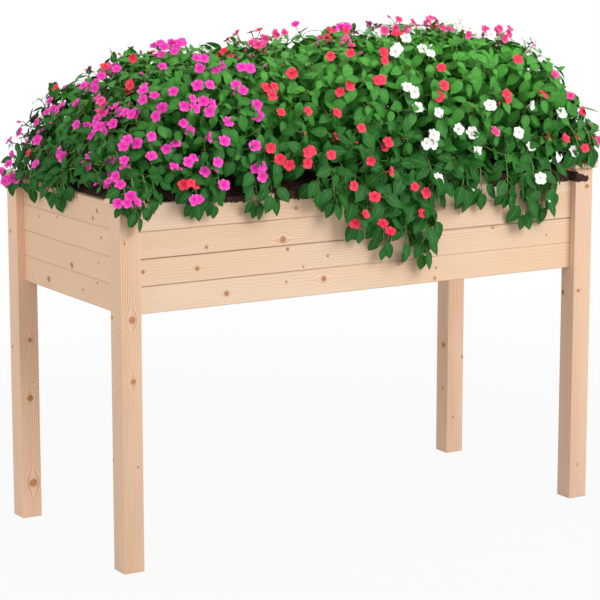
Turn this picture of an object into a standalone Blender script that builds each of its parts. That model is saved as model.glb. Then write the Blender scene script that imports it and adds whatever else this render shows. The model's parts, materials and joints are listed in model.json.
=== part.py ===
"""A raised planter box on four legs, filled with compost and planted with busy lizzies.

Metres, +Z up. X runs along the front, the front faces -Y, and the origin lies on the
floor under the middle of the bed.
"""

import math

import bmesh
import bpy
import numpy as np

# ---- driving dimensions ---------------------------------------------------------------
GAP = 0.0003  # left between pieces that touch

LENGTH = 1.140  # over the legs, along X
WIDTH = 0.520  # over the legs, along Y
LEG = 0.045
LEG_HEIGHT = 0.730
LEG_ROUND = 0.0015
CAP = 0.061
CAP_THICK = 0.012
CAP_ROUND = 0.004

BOARD_THICK = 0.014
BOARD_HEIGHT = 0.054  # face of one board, and the pitch of the rows
BOARD_ROWS = 4
BOARD_INSET = 0.0175  # from a leg's outer face to the boards' outer face
BOARD_CHAMFER = 0.0012
HOUSING = 0.012  # depth of the groove in a leg that takes the boards' ends
TONGUE, TONGUE_HEIGHT, TONGUE_TAPER = 0.005, 0.006, 0.0004
GROOVE, GROOVE_DEPTH = 0.0058, 0.0068

LEDGER = 0.020
SLATS = 9
SLAT_THICK = 0.012
SLAT_SPACE = 0.003  # drainage gap between two floor slats
LINER_THICK = 0.0015
LINER_TOP = 0.7205
SOIL_EDGE, SOIL_CROWN = 0.7215, 0.034  # height at the rim, and the rise to the middle

# The mound of foliage: a loaf that is fuller at its right end
MOUND_X, MOUND_Y = 0.614, 0.312
MOUND_BASE, MOUND_HEIGHT, MOUND_LEAN = 0.720, 0.318, 0.085
MOUND_PLAN, MOUND_BULGE = 6.7, 1.66
MOUND_FALL_LEFT, MOUND_FALL_RIGHT = 3.5, 6.8
SKIRT, SKIRT_AT_LEFT = 0.010, 0.070  # how far the foliage sags below the rim
UNDERCUT_HEIGHT, UNDERCUT_SLOPE = 0.737, 0.50  # its underside rises outwards over the rim
UNDERCUT_Y, UNDERCUT_RIGHT = 0.200, 0.490  # where that rise begins
HEART_HEIGHT = 0.805  # where a plant's shoots fan out from
FAN_RINGS, FAN_SIDES, FAN_LOWEST = 11, 22, 126  # directions in a fan, and its lowest, in degrees
SHOOTS, SHOOT_SPREAD, SHOOT_SWELL = 26, 17.0, 0.15
SHOULDER = 11.0  # how tightly a dome rounds over to its neighbour; higher is sharper

# (x, y) of each plant's base
FRONT_ROW = [(-0.460, -0.112), (-0.235, -0.112), (0.030, -0.112), (0.250, -0.112), (0.460, -0.112)]
BACK_ROW = [(-0.487, 0.110), (-0.295, 0.110), (-0.100, 0.110), (0.100, 0.110), (0.295, 0.110), (0.487, 0.110)]
# Shoots that trail over the rim, by plant: (x, how far below the rim, width)
TRAILS = {
    "plant_front_1": [(-0.530, 0.042, 0.095), (-0.398, 0.030, 0.085)],
    "plant_front_2": [(-0.262, 0.042, 0.100)],
    "plant_front_3": [(-0.066, 0.052, 0.070), (0.052, 0.162, 0.180)],
    "plant_front_4": [(0.178, 0.066, 0.072), (0.275, 0.068, 0.095)],
    "plant_front_5": [(0.410, 0.110, 0.095)],
    "plant_back_2": [(-0.310, 0.046, 0.110)],
    "plant_back_4": [(0.080, 0.060, 0.105)],
    "plant_back_6": [(0.470, 0.034, 0.090)],
}
# Height and radius down a plant's stem, from its root to where it forks
STEM_RINGS = [(0.668, 0.0048), (0.700, 0.0092), (0.754, 0.0086), (0.832, 0.0054)]
STEM_SIDES = 8

# ---- derived --------------------------------------------------------------------------
PANEL_BOTTOM = LEG_HEIGHT - BOARD_ROWS * BOARD_HEIGHT
INSIDE_X = LENGTH / 2 - BOARD_INSET - BOARD_THICK  # inner faces of the boards
INSIDE_Y = WIDTH / 2 - BOARD_INSET - BOARD_THICK
LEG_FACE_X, LEG_FACE_Y = LENGTH / 2 - LEG, WIDTH / 2 - LEG  # inner faces of the legs
LEDGER_TOP = PANEL_BOTTOM + LEDGER
FLOOR_TOP = LEDGER_TOP + GAP + SLAT_THICK
CORNERS = {"front_left": (-1, -1), "front_right": (1, -1), "back_left": (-1, 1), "back_right": (1, 1)}

PINE = (0.90, 0.76, 0.61)
SAWN_PINE = (0.86, 0.70, 0.53)
LINER_GREY = (0.16, 0.16, 0.17)
COMPOST = (0.13, 0.085, 0.065)
STEM_GREEN = (0.42, 0.46, 0.24)
LEAF_GREEN = (0.16, 0.40, 0.14)


# ---- helpers --------------------------------------------------------------------------
def linear(colour):
    """A screen colour as the linear values a shader takes."""
    return [c / 12.92 if c <= 0.04045 else ((c + 0.055) / 1.055) ** 2.4 for c in colour]


def material(name, colour, roughness):
    mat = bpy.data.materials.new(name)
    mat.use_nodes = True
    shader = mat.node_tree.nodes["Principled BSDF"]
    shader.inputs["Base Color"].default_value = (*linear(colour), 1.0)
    shader.inputs["Roughness"].default_value = roughness
    shader.inputs["Metallic"].default_value = 0.0
    mat.diffuse_color = (*linear(colour), 1.0)
    return mat


def add_object(name, mesh, colour, roughness, parent=None):
    obj = bpy.data.objects.new(name, mesh)
    bpy.context.scene.collection.objects.link(obj)
    obj.parent = parent
    if colour is not None:
        mesh.materials.append(material(name, colour, roughness))
    return obj


def mesh_from(name, points, faces):
    mesh = bpy.data.meshes.new(name)
    mesh.from_pydata([tuple(p) for p in points], [], faces)
    mesh.validate()
    shell = bmesh.new()
    shell.from_mesh(mesh)
    bmesh.ops.recalc_face_normals(shell, faces=shell.faces)
    shell.to_mesh(mesh)
    shell.free()
    return mesh


def box_mesh(name, low, high):
    points = [(x, y, z) for z in (low[2], high[2]) for y in (low[1], high[1]) for x in (low[0], high[0])]
    faces = [(0, 2, 3, 1), (4, 5, 7, 6), (0, 1, 5, 4), (2, 6, 7, 3), (0, 4, 6, 2), (1, 3, 7, 5)]
    return mesh_from(name, points, faces)


def prism_mesh(name, outline, low, high, place):
    """An outline swept from low to high; place turns (a, b, along) into a point."""
    n = len(outline)
    points = [place(a, b, along) for along in (low, high) for a, b in outline]
    sides = [(i, (i + 1) % n, (i + 1) % n + n, i + n) for i in range(n)]
    return mesh_from(name, points, [tuple(range(n)), tuple(range(n, 2 * n)), *sides])


def rings_mesh(name, rings):
    """A closed body through rings of the same number of points, with flat ends."""
    n = len(rings[0])
    points = [p for ring in rings for p in ring]
    faces = [tuple(range(n)), tuple(range(len(points) - n, len(points)))]
    for k in range(len(rings) - 1):
        faces += [(k * n + i, k * n + (i + 1) % n, (k + 1) * n + (i + 1) % n, (k + 1) * n + i) for i in range(n)]
    return mesh_from(name, points, faces)


def bevel(obj, width, segments=2):
    rounding = obj.modifiers.new("rounding", "BEVEL")
    rounding.width = width
    rounding.segments = segments
    rounding.limit_method = "ANGLE"
    rounding.angle_limit = math.radians(40)


def cutter(name, mesh):
    obj = add_object(name, mesh, None, None)
    obj.hide_render = True
    obj.display_type = "WIRE"
    return obj


def combine(obj, other, operation):
    step = obj.modifiers.new(f"{operation.lower()}_{other.name}", "BOOLEAN")
    step.operation = operation
    step.solver = "EXACT"
    step.object = other


def notched_outline(x0, x1, y0, y1, notch, corners=("00", "10", "11", "01")):
    """A rectangle, anticlockwise, with a square notch at each named corner (0 low, 1 high, X then Y)."""
    outline = []
    for corner in ("00", "10", "11", "01"):
        x, y = (x0, x1)[int(corner[0])], (y0, y1)[int(corner[1])]
        if corner not in corners:
            outline.append((x, y))
            continue
        inward_x, inward_y = notch * (1 - 2 * int(corner[0])), notch * (1 - 2 * int(corner[1]))
        steps = [(x, y + inward_y), (x + inward_x, y + inward_y), (x + inward_x, y)]
        outline += steps if corner in ("00", "11") else steps[::-1]
    return outline


# ---- timber ---------------------------------------------------------------------------
def make_leg(corner, sx, sy, parent):
    """A square post with a housing in each inner face for the ends of four boards."""
    half = LEG / 2
    x, y = sx * (LENGTH / 2 - half), sy * (WIDTH / 2 - half)
    leg = add_object(f"leg_{corner}", box_mesh("leg", (-half, -half, 0), (half, half, LEG_HEIGHT)), PINE, 0.6, parent)
    leg.location = (x, y, 0)
    bevel(leg, LEG_ROUND)
    across = sorted((half - BOARD_INSET + GAP, half - BOARD_INSET - BOARD_THICK - GAP))
    deep = sorted((-half - 0.01, -half + HOUSING))
    for side, spans in (("x", (deep, across)), ("y", (across, deep))):
        (ax, bx), (ay, by) = spans
        low = (min(sx * ax, sx * bx), min(sy * ay, sy * by), PANEL_BOTTOM - GAP)
        high = (max(sx * ax, sx * bx), max(sy * ay, sy * by), LEG_HEIGHT + 0.01)
        housing = cutter(f"housing_{corner}_{side}", box_mesh("housing", low, high))
        housing.location = leg.location
        combine(leg, housing, "DIFFERENCE")

    half = CAP / 2
    low, high = (-half, -half, 0), (half, half, CAP_THICK)
    cap = add_object(f"cap_{corner}", box_mesh("cap", low, high), PINE, 0.6, parent)
    cap.location = (x, y, LEG_HEIGHT + GAP)
    bevel(cap, CAP_ROUND, 3)


def board_profile(tongue, groove):
    """Thickness and height of a board's section; the outer face is at +thickness."""
    half, chamfer, top = BOARD_THICK / 2, BOARD_CHAMFER, BOARD_HEIGHT - GAP
    outline = [(-half, chamfer), (-half + chamfer, 0)]
    if groove:
        outline += [(-GROOVE / 2, 0), (-GROOVE / 2, GROOVE_DEPTH), (GROOVE / 2, GROOVE_DEPTH), (GROOVE / 2, 0)]
    outline += [(half - chamfer, 0), (half, chamfer), (half, top - chamfer), (half - chamfer, top)]
    if tongue:
        tip = TONGUE / 2 - TONGUE_TAPER
        outline += [(TONGUE / 2, top), (tip, top + TONGUE_HEIGHT), (-tip, top + TONGUE_HEIGHT), (-TONGUE / 2, top)]
    return outline + [(-half + chamfer, top), (-half, top - chamfer)]


def make_boards(side, length, distance, turn, parent):
    """One side of the box: rows of tongue-and-groove boards, numbered from the bottom."""
    for row in range(BOARD_ROWS):
        profile = board_profile(tongue=row < BOARD_ROWS - 1, groove=row > 0)
        mesh = prism_mesh("board", profile, -length / 2, length / 2, lambda a, b, along: (along, -a, b))
        board = add_object(f"board_{side}_{row + 1}", mesh, PINE, 0.6, parent)
        board.rotation_euler = (0, 0, turn)
        board.location = (distance * math.sin(turn), -distance * math.cos(turn), PANEL_BOTTOM + row * BOARD_HEIGHT)


def make_floor(parent):
    """Two ledgers along the long sides, and the slats that lie across them."""
    for side, sy in (("front", -1), ("back", 1)):
        half = LEG_FACE_X - GAP
        mesh = box_mesh("ledger", (-half, -LEDGER / 2, 0), (half, LEDGER / 2, LEDGER))
        ledger = add_object(f"ledger_{side}", mesh, SAWN_PINE, 0.75, parent)
        ledger.location = (0, sy * (INSIDE_Y - GAP - LEDGER / 2), PANEL_BOTTOM)
        bevel(ledger, 0.001, 1)
    end, half_y, notch = INSIDE_X - GAP, INSIDE_Y - GAP, INSIDE_X - LEG_FACE_X
    width = (2 * end - (SLATS - 1) * SLAT_SPACE) / SLATS
    for k in range(SLATS):
        corners = {0: ("00", "01"), SLATS - 1: ("10", "11")}.get(k, ())
        outline = notched_outline(-width / 2, width / 2, -half_y, half_y, notch, corners)
        mesh = prism_mesh("slat", outline, 0, SLAT_THICK, lambda a, b, along: (a, b, along))
        slat = add_object(f"slat_{k + 1}", mesh, SAWN_PINE, 0.75, parent)
        slat.location = (-end + width / 2 + k * (width + SLAT_SPACE), 0, LEDGER_TOP + GAP)
        bevel(slat, 0.001, 1)


# ---- liner and compost ----------------------------------------------------------------
def make_liner(parent):
    """An open tray of fabric that follows the boards and steps in round the legs."""
    x, y, notch = INSIDE_X - GAP, INSIDE_Y - GAP, INSIDE_X - LEG_FACE_X
    t, low = LINER_THICK, FLOOR_TOP + GAP
    outer = notched_outline(-x, x, -y, y, notch)
    inner = notched_outline(-x + t, x - t, -y + t, y - t, notch)
    levels = [(outer, low), (outer, LINER_TOP), (inner, LINER_TOP), (inner, low + t)]
    mesh = rings_mesh("liner", [[(a, b, z) for a, b in outline] for outline, z in levels])
    add_object("liner", mesh, LINER_GREY, 0.9, parent)


def soil_height(x, y, half_x, half_y):
    """The heap stands at the rim along its edges and rises within a hand's breadth of them."""
    crown = max(0.0, (1 - abs(x / half_x) ** 10) * (1 - abs(y / half_y) ** 6)) ** 0.8
    clods = 0.0016 * math.sin(61 * x + 2 * math.sin(23 * y)) * math.sin(71 * y + 1.7 * math.sin(31 * x))
    return SOIL_EDGE + (SOIL_CROWN + clods) * crown


def heap_mesh(name, half_x, half_y, notch, low, lift):
    """The heap as a closed body on the tray's outline, its top raised by lift."""

    def stops(half, count):
        between = np.linspace(-half + notch, half - notch, count)
        return [-half, *between.tolist(), half]

    xs, ys = stops(half_x, 18), stops(half_y, 9)
    nx, ny = len(xs), len(ys)
    edge_x, edge_y = (0, nx - 1), (0, ny - 1)
    index, points = {}, []
    for i in range(nx):
        for j in range(ny):
            if not (i in edge_x and j in edge_y):
                index[i, j] = len(points)
                points.append((xs[i], ys[j], soil_height(xs[i], ys[j], half_x, half_y) + lift))
    faces = []
    for i in range(nx - 1):
        for j in range(ny - 1):
            cell = [(i, j), (i + 1, j), (i + 1, j + 1), (i, j + 1)]
            if all(c in index for c in cell):
                faces.append(tuple(index[c] for c in cell))
    mesh = mesh_from(name, points, faces)
    shell = bmesh.new()
    shell.from_mesh(mesh)
    bmesh.ops.triangulate(shell, faces=shell.faces, quad_method="FIXED")
    rim = [e for e in shell.edges if e.is_boundary]
    skirt = bmesh.ops.extrude_edge_only(shell, edges=rim)["geom"]
    hem = [v for v in skirt if isinstance(v, bmesh.types.BMVert)]
    for vertex in hem:
        vertex.co.z = low
    bmesh.ops.contextual_create(shell, geom=[e for e in shell.edges if e.is_boundary])
    bmesh.ops.recalc_face_normals(shell, faces=shell.faces)
    shell.to_mesh(mesh)
    shell.free()
    return mesh


def make_compost(plants, parent):
    inset = GAP + LINER_THICK + GAP
    x, y, notch = INSIDE_X - inset, INSIDE_Y - inset, INSIDE_X - LEG_FACE_X
    low = FLOOR_TOP + GAP + LINER_THICK + GAP
    mesh = heap_mesh("compost", x, y, notch, low, 0)
    compost = add_object("compost", mesh, COMPOST, 0.95, parent)
    for name in plants:
        combine(compost, bpy.data.objects[f"pocket_{name}"], "DIFFERENCE")
    cutter("over_compost", heap_mesh("over_compost", x, y, notch, low, 2 * GAP))


# ---- plants ---------------------------------------------------------------------------
def outside_mound(points):
    """Negative inside the mound's surface, positive outside."""
    x, y, z = points.T
    plan = (np.abs(x / MOUND_X) ** MOUND_PLAN + np.abs(y / MOUND_Y) ** MOUND_PLAN) ** (1 / MOUND_PLAN)
    along = np.clip(x / MOUND_X, -1, 1)
    fall = MOUND_FALL_LEFT + (MOUND_FALL_RIGHT - MOUND_FALL_LEFT) * (along + 1) / 2
    rise = np.clip((z - MOUND_BASE) / (MOUND_HEIGHT * (1 + MOUND_LEAN * along)), 0, None)
    skirt = SKIRT + SKIRT_AT_LEFT * np.clip(-along, 0, 1) ** 8
    sag = np.clip((MOUND_BASE - z) / skirt, 0, None)
    return plan**fall + rise**MOUND_BULGE + sag**2 - 1


def reach(heart, directions):
    """How far each direction goes from the heart before it leaves the mound."""
    low, high = np.zeros(len(directions)), np.full(len(directions), 1.5)
    for _ in range(36):
        middle = (low + high) / 2
        inside = outside_mound(heart + directions * middle[:, None]) < 0
        low, high = np.where(inside, middle, low), np.where(inside, high, middle)
    return low


def shoot_directions(number):
    """Directions spread evenly over a ball by the golden angle, turned for each plant."""
    k = np.arange(SHOOTS) + 0.5
    lift = 1 - 1.5 * k / SHOOTS
    turn = math.pi * (1 + math.sqrt(5)) * k + 1.3 * number
    flat = np.sqrt(1 - lift**2)
    return np.stack([flat * np.cos(turn), flat * np.sin(turn), lift], axis=1)


def fan():
    """The directions of a ball's rings, from straight up to its lowest ring and straight down,
    and the faces between them."""
    directions, faces = [(0, 0, 1)], []
    for ring in range(1, FAN_RINGS + 1):
        fall = math.radians(FAN_LOWEST) * ring / FAN_RINGS
        for i in range(FAN_SIDES):
            turn = 2 * math.pi * (i + 0.5 * (ring % 2)) / FAN_SIDES
            directions.append((math.sin(fall) * math.cos(turn), math.sin(fall) * math.sin(turn), math.cos(fall)))
    directions.append((0, 0, -1))
    last = len(directions) - 1
    for i in range(FAN_SIDES):
        j = (i + 1) % FAN_SIDES
        faces += [(0, 1 + i, 1 + j), (last, last - FAN_SIDES + j, last - FAN_SIDES + i)]
        for ring in range(1, FAN_RINGS):
            upper, lower = 1 + (ring - 1) * FAN_SIDES, 1 + ring * FAN_SIDES
            if ring % 2:
                faces += [(upper + i, lower + i, lower + j), (upper + i, lower + j, upper + j)]
            else:
                faces += [(upper + i, lower + i, upper + j), (upper + j, lower + i, lower + j)]
    return np.array(directions), faces


def undercuts(place):
    """Planes that the underside keeps above, as (outward normal, distance from the heart)."""
    planes = []
    for axis, sign, start in ((1, -1, UNDERCUT_Y), (1, 1, UNDERCUT_Y), (0, 1, UNDERCUT_RIGHT)):
        normal = np.array([0.0, 0.0, -1.0])
        normal[axis] = sign * UNDERCUT_SLOPE
        above = HEART_HEIGHT - UNDERCUT_HEIGHT - UNDERCUT_SLOPE * (sign * place[axis] - start)
        planes.append((normal / np.linalg.norm(normal), above / np.linalg.norm(normal)))
    return planes


def foliage_mesh(name, number, place, neighbours):
    """A plant's leaf mass: the mound's surface seen from its heart, swollen at each shoot and
    rounded over before the plane half way to each neighbour."""
    directions, faces = fan()
    heart = np.array([*place, HEART_HEIGHT])
    closeness = np.max(directions @ shoot_directions(number).T, axis=1)
    swell = 1 - SHOOT_SWELL * (1 - np.exp(SHOOT_SPREAD * (closeness - 1)))
    planes = undercuts(place)
    for other in neighbours:
        away = np.array([*other, 0.0]) - np.array([*place, 0.0])
        gap = np.linalg.norm(away)
        planes.append((away / gap, (gap - GAP) / 2))
    closest = (reach(heart, directions) * swell) ** -SHOULDER
    for normal, distance in planes:
        closest += (np.maximum(directions @ normal, 1e-6) / distance) ** SHOULDER
    points = directions * (closest ** (-1 / SHOULDER))[:, None]
    return mesh_from(name, points.tolist(), faces)


def trail_mesh(side, x, drop, width, low_x, high_x):
    """A shoot's leaf mass that leaves the mound, bends over the rim and hangs against the boards."""
    rim, face = LEG_HEIGHT, WIDTH / 2
    # (y, z, share of the width, half thickness)
    stations = [
        (face - 0.060, rim + 0.105, 1.30, 0.034),
        (face - 0.008, rim + 0.080, 1.40, 0.036),
        (face + 0.018, rim + 0.024, 1.22, 0.031),
        (face + 0.020, rim - 0.34 * drop, 1.02, 0.027),
        (face + 0.014, rim - 0.70 * drop, 0.74, 0.023),
        (face + 0.008, rim - drop, 0.36, 0.013),
    ]
    rings = []
    for k, (y, z, share, thick) in enumerate(stations):
        before, after = stations[max(k - 1, 0)], stations[min(k + 1, len(stations) - 1)]
        slope = math.atan2(after[1] - before[1], after[0] - before[0])
        ring = []
        for i in range(10):
            angle = 2 * math.pi * i / 10
            out = thick * math.sin(angle)
            across = x + share * width / 2 * math.cos(angle) * (1 + 0.07 * math.sin(3 * k + 4 * i + 20 * x))
            across = min(max(across, low_x), high_x)
            ring.append((across, side * (y - out * math.sin(slope)), z + out * math.cos(slope)))
        rings.append(ring)
    return rings_mesh("trail", rings)


def stem_mesh(extra):
    """A fleshy stem, thickest where it leaves the compost; extra widens it for its pocket."""
    rings = []
    for k, (z, radius) in enumerate(STEM_RINGS):
        end = extra * (-1 if k == 0 else 1 if k == len(STEM_RINGS) - 1 else 0)
        turns = [2 * math.pi * i / STEM_SIDES for i in range(STEM_SIDES)]
        rings.append([((radius + extra) * math.cos(a), (radius + extra) * math.sin(a), z + end) for a in turns])
    return rings_mesh("stem", rings)


def make_pockets(plants):
    """The room that each stem takes in the compost and in its own foliage."""
    for name, place in plants.items():
        pocket = cutter(f"pocket_{name}", stem_mesh(0.0005))
        pocket.location = (*place, 0)


def make_plant(number, name, place, plants, parent):
    stem = add_object(f"{name}_stem", stem_mesh(0), STEM_GREEN, 0.45, parent)
    stem.location = (*place, 0)
    stem.data.shade_smooth()

    others = [spot for other, spot in plants.items() if other != name]
    foliage = add_object(f"{name}_foliage", foliage_mesh(name, number, place, others), LEAF_GREEN, 0.5, parent)
    foliage.location = (*place, HEART_HEIGHT)
    row = [spot[0] for spot in plants.values() if spot[1] == place[1]]
    low_x = max([(place[0] + x + GAP) / 2 for x in row if x < place[0]], default=-1)
    high_x = min([(place[0] + x - GAP) / 2 for x in row if x > place[0]], default=1)
    for k, (x, drop, width) in enumerate(TRAILS.get(name, [])):
        side = math.copysign(1, place[1])
        trail = cutter(f"trail_{name}_{k + 1}", trail_mesh(side, x, drop, width, low_x, high_x))
        combine(foliage, trail, "UNION")
    combine(foliage, bpy.data.objects["over_rim"], "DIFFERENCE")
    combine(foliage, bpy.data.objects["over_compost"], "DIFFERENCE")
    if name[-1] in "156":
        combine(foliage, bpy.data.objects["over_caps"], "DIFFERENCE")
    combine(foliage, bpy.data.objects[f"pocket_{name}"], "DIFFERENCE")
    foliage.data.shade_smooth()


def make_clearances():
    """What the foliage lies on and hangs against: the boards' box and the four capped legs."""
    x, y = LENGTH / 2 - BOARD_INSET + GAP, WIDTH / 2 - BOARD_INSET + GAP
    cutter("over_rim", box_mesh("over_rim", (-x, -y, 0.4), (x, y, LEG_HEIGHT + GAP)))
    corners = bmesh.new()
    half, top = CAP / 2 + GAP, LEG_HEIGHT + GAP + CAP_THICK + GAP
    for sx, sy in CORNERS.values():
        x, y = sx * (LENGTH / 2 - LEG / 2), sy * (WIDTH / 2 - LEG / 2)
        post = bmesh.ops.create_cube(corners, size=1.0)["verts"]
        bmesh.ops.scale(corners, vec=(2 * half, 2 * half, top - 0.4), verts=post)
        bmesh.ops.translate(corners, vec=(x, y, (top + 0.4) / 2), verts=post)
    mesh = bpy.data.meshes.new("over_caps")
    corners.to_mesh(mesh)
    corners.free()
    cutter("over_caps", mesh)


def main():
    for obj in list(bpy.data.objects):
        bpy.data.objects.remove(obj, do_unlink=True)

    bed = add_object("raised_bed", None, None, None)
    for corner, (sx, sy) in CORNERS.items():
        make_leg(corner, sx, sy, bed)
    long_board, short_board = 2 * LEG_FACE_X + 2 * HOUSING - 0.001, 2 * LEG_FACE_Y + 2 * HOUSING - 0.001
    to_front, to_side = INSIDE_Y + BOARD_THICK / 2, INSIDE_X + BOARD_THICK / 2
    make_boards("front", long_board, to_front, 0, bed)
    make_boards("right", short_board, to_side, math.pi / 2, bed)
    make_boards("back", long_board, to_front, math.pi, bed)
    make_boards("left", short_board, to_side, -math.pi / 2, bed)
    make_floor(bed)
    make_liner(bed)

    plants = {f"plant_front_{k + 1}": spot for k, spot in enumerate(FRONT_ROW)}
    plants.update({f"plant_back_{k + 1}": spot for k, spot in enumerate(BACK_ROW)})
    make_pockets(plants)
    make_compost(plants, bed)
    make_clearances()
    for number, (name, place) in enumerate(plants.items()):
        make_plant(number, name, place, plants, bed)


main()
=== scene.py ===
"""A planted raised bed: a pine box on four legs, lined, filled with compost, and grown over by
eleven busy lizzies in flower. Metres, +Z up, the front faces -Y."""

import json
import math
from functools import cache
from types import SimpleNamespace

import bpy
import numpy as np
from bpy.props import FloatProperty, FloatVectorProperty, IntProperty, PointerProperty
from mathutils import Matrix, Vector

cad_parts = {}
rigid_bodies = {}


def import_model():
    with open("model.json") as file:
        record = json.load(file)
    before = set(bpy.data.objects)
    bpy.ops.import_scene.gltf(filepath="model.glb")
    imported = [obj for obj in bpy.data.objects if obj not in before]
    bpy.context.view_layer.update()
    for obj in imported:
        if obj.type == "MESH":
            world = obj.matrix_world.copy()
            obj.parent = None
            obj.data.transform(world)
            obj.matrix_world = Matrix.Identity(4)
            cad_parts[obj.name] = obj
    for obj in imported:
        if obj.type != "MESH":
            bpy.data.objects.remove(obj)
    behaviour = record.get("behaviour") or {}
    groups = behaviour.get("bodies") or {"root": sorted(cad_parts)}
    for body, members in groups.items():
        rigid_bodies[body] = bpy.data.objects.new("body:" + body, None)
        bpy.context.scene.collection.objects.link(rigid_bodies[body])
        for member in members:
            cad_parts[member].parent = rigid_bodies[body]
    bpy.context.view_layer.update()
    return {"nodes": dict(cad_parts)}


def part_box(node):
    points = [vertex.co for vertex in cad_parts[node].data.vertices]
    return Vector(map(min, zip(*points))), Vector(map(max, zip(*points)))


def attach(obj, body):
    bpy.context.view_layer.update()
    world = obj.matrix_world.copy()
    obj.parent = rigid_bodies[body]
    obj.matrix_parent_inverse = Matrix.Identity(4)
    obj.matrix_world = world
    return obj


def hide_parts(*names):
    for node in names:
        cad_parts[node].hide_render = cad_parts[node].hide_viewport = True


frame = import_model()

bl_info = {
    "name": "Planted Raised Bed",
    "version": (1, 0, 0),
    "blender": (4, 5, 0),
    "location": "3D View > Sidebar > Raised Bed",
    "description": "A pine raised bed on legs, planted with busy lizzies in flower",
    "category": "Object",
}

# ---- the bed's own places, all read from the frame ---------------------------------------
NODES = sorted(frame["nodes"])
PLANTS = [name[: -len("_foliage")] for name in NODES if name.endswith("_foliage")]


def span(*nodes):
    """Lowest and highest corner of some nodes taken together."""
    boxes = [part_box(node) for node in nodes]
    return np.min([b[0] for b in boxes], axis=0), np.max([b[1] for b in boxes], axis=0)


LEGS_LOW, LEGS_HIGH = span(*[n for n in NODES if n.startswith("leg_")])
CAPS_HIGH = span(*[n for n in NODES if n.startswith("cap_")])[1]
MIDDLE = (LEGS_LOW + LEGS_HIGH) / 2 * (1, 1, 0)
FRONT, SIDE = span("board_front_4", "board_back_4"), span("board_left_4", "board_right_4")
RIM = float(FRONT[1][2])
OUTER_X, OUTER_Y = float(SIDE[1][0] - MIDDLE[0]), float(FRONT[1][1] - MIDDLE[1])
BOARD = float(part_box("board_front_1")[1][1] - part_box("board_front_1")[0][1])
INNER_X, INNER_Y = OUTER_X - BOARD, OUTER_Y - BOARD
BOARD_FACE = float(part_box("board_front_2")[0][2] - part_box("board_front_1")[0][2])
CAP = float(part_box("cap_front_left")[1][0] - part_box("cap_front_left")[0][0])
CAP_X, CAP_Y, CAP_TOP = (float(v) for v in CAPS_HIGH - MIDDLE)
BASES = np.array([np.mean(span(f"{name}_stem"), axis=0) * (1, 1, 0) for name in PLANTS]) - MIDDLE
SOIL_LOW, SOIL_RISE = 0.7215, 0.034  # the heap at the boards, and how much its middle stands above that
UP, ACROSS = np.array([0.0, 0.0, 1.0]), np.array([0.0, 1.0, 0.0])
LEVEL = np.array([1, 1, 0])  # keeps only the level part of a vector
GOLDEN = math.pi * (3 - math.sqrt(5))
PROUD_X, PROUD_Y, PROUD_TOP = 0.634, 0.328, 1.068  # nothing that grows goes past these

# ---- the plants' places along the bed ------------------------------------------------------
# Shoots that hang over the rim, by plant: (x, how far the lowest leaf hangs below the rim)
TRAILS = {
    "plant_front_1": [
        (-0.566, 0.018), (-0.545, 0.040), (-0.518, 0.030), (-0.498, 0.012), (-0.425, 0.004),
        (-0.405, 0.030),
    ],
    "plant_front_2": [(-0.370, 0.028), (-0.356, 0.002), (-0.268, 0.040), (-0.236, 0.030)],
    "plant_front_3": [
        (-0.129, 0.022), (-0.093, 0.046), (-0.060, 0.030), (-0.036, 0.108), (-0.010, 0.070), (0.014, 0.118),
        (0.030, 0.154), (0.058, 0.100), (0.084, 0.160), (0.088, 0.050), (0.104, 0.110), (0.116, 0.052),
        (0.126, 0.174), (0.136, 0.146), (0.158, 0.112), (0.146, 0.040),
    ],
    "plant_front_4": [(0.176, 0.030), (0.222, 0.046), (0.240, 0.066), (0.274, 0.060)],
    "plant_front_5": [
        (0.340, 0.070), (0.380, 0.112), (0.408, 0.070), (0.434, 0.104), (0.452, 0.076),
        (0.515, -0.016), (0.548, -0.022),
    ],
    "plant_back_2": [(-0.330, 0.030), (-0.300, 0.046)],
    "plant_back_4": [(0.050, 0.040), (0.085, 0.060), (0.110, 0.036)],
    "plant_back_6": [(0.450, 0.034), (0.480, 0.026)],
}
# Shoots that hang over the two ends, by plant: (y, how far the lowest leaf hangs below the rim)
END_TRAILS = {
    "plant_back_1": [
        (0.200, 0.030), (0.165, 0.022), (0.131, 0.036), (0.094, 0.024), (0.062, 0.034), (0.030, 0.044),
    ],
    "plant_front_1": [(0.002, 0.034), (-0.020, 0.018)],
    "plant_front_5": [(-0.215, 0.002), (-0.165, 0.012), (-0.110, 0.020), (-0.060, 0.012)],
    "plant_back_6": [(0.020, 0.020), (0.090, 0.028), (0.150, 0.018), (0.210, 0.016)],
}
# Gaps between the plants where the compost shows: x from and to, and how far above the rim it is clear
WINDOWS = [
    (-0.462, -0.410, 0.020), (-0.326, -0.284, 0.034), (-0.210, -0.146, 0.016), (-0.112, -0.086, 0.018),
    (0.194, 0.216, 0.022), (0.306, 0.336, 0.028), (0.470, 0.516, 0.026),
]
# Where compost has spilt over the front boards: x from and to
SPILLS = [
    (-0.335, -0.280), (-0.215, -0.050), (0.140, 0.245), (0.305, 0.355), (0.430, 0.5235),
    (0.5215, 0.556),
]
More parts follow.
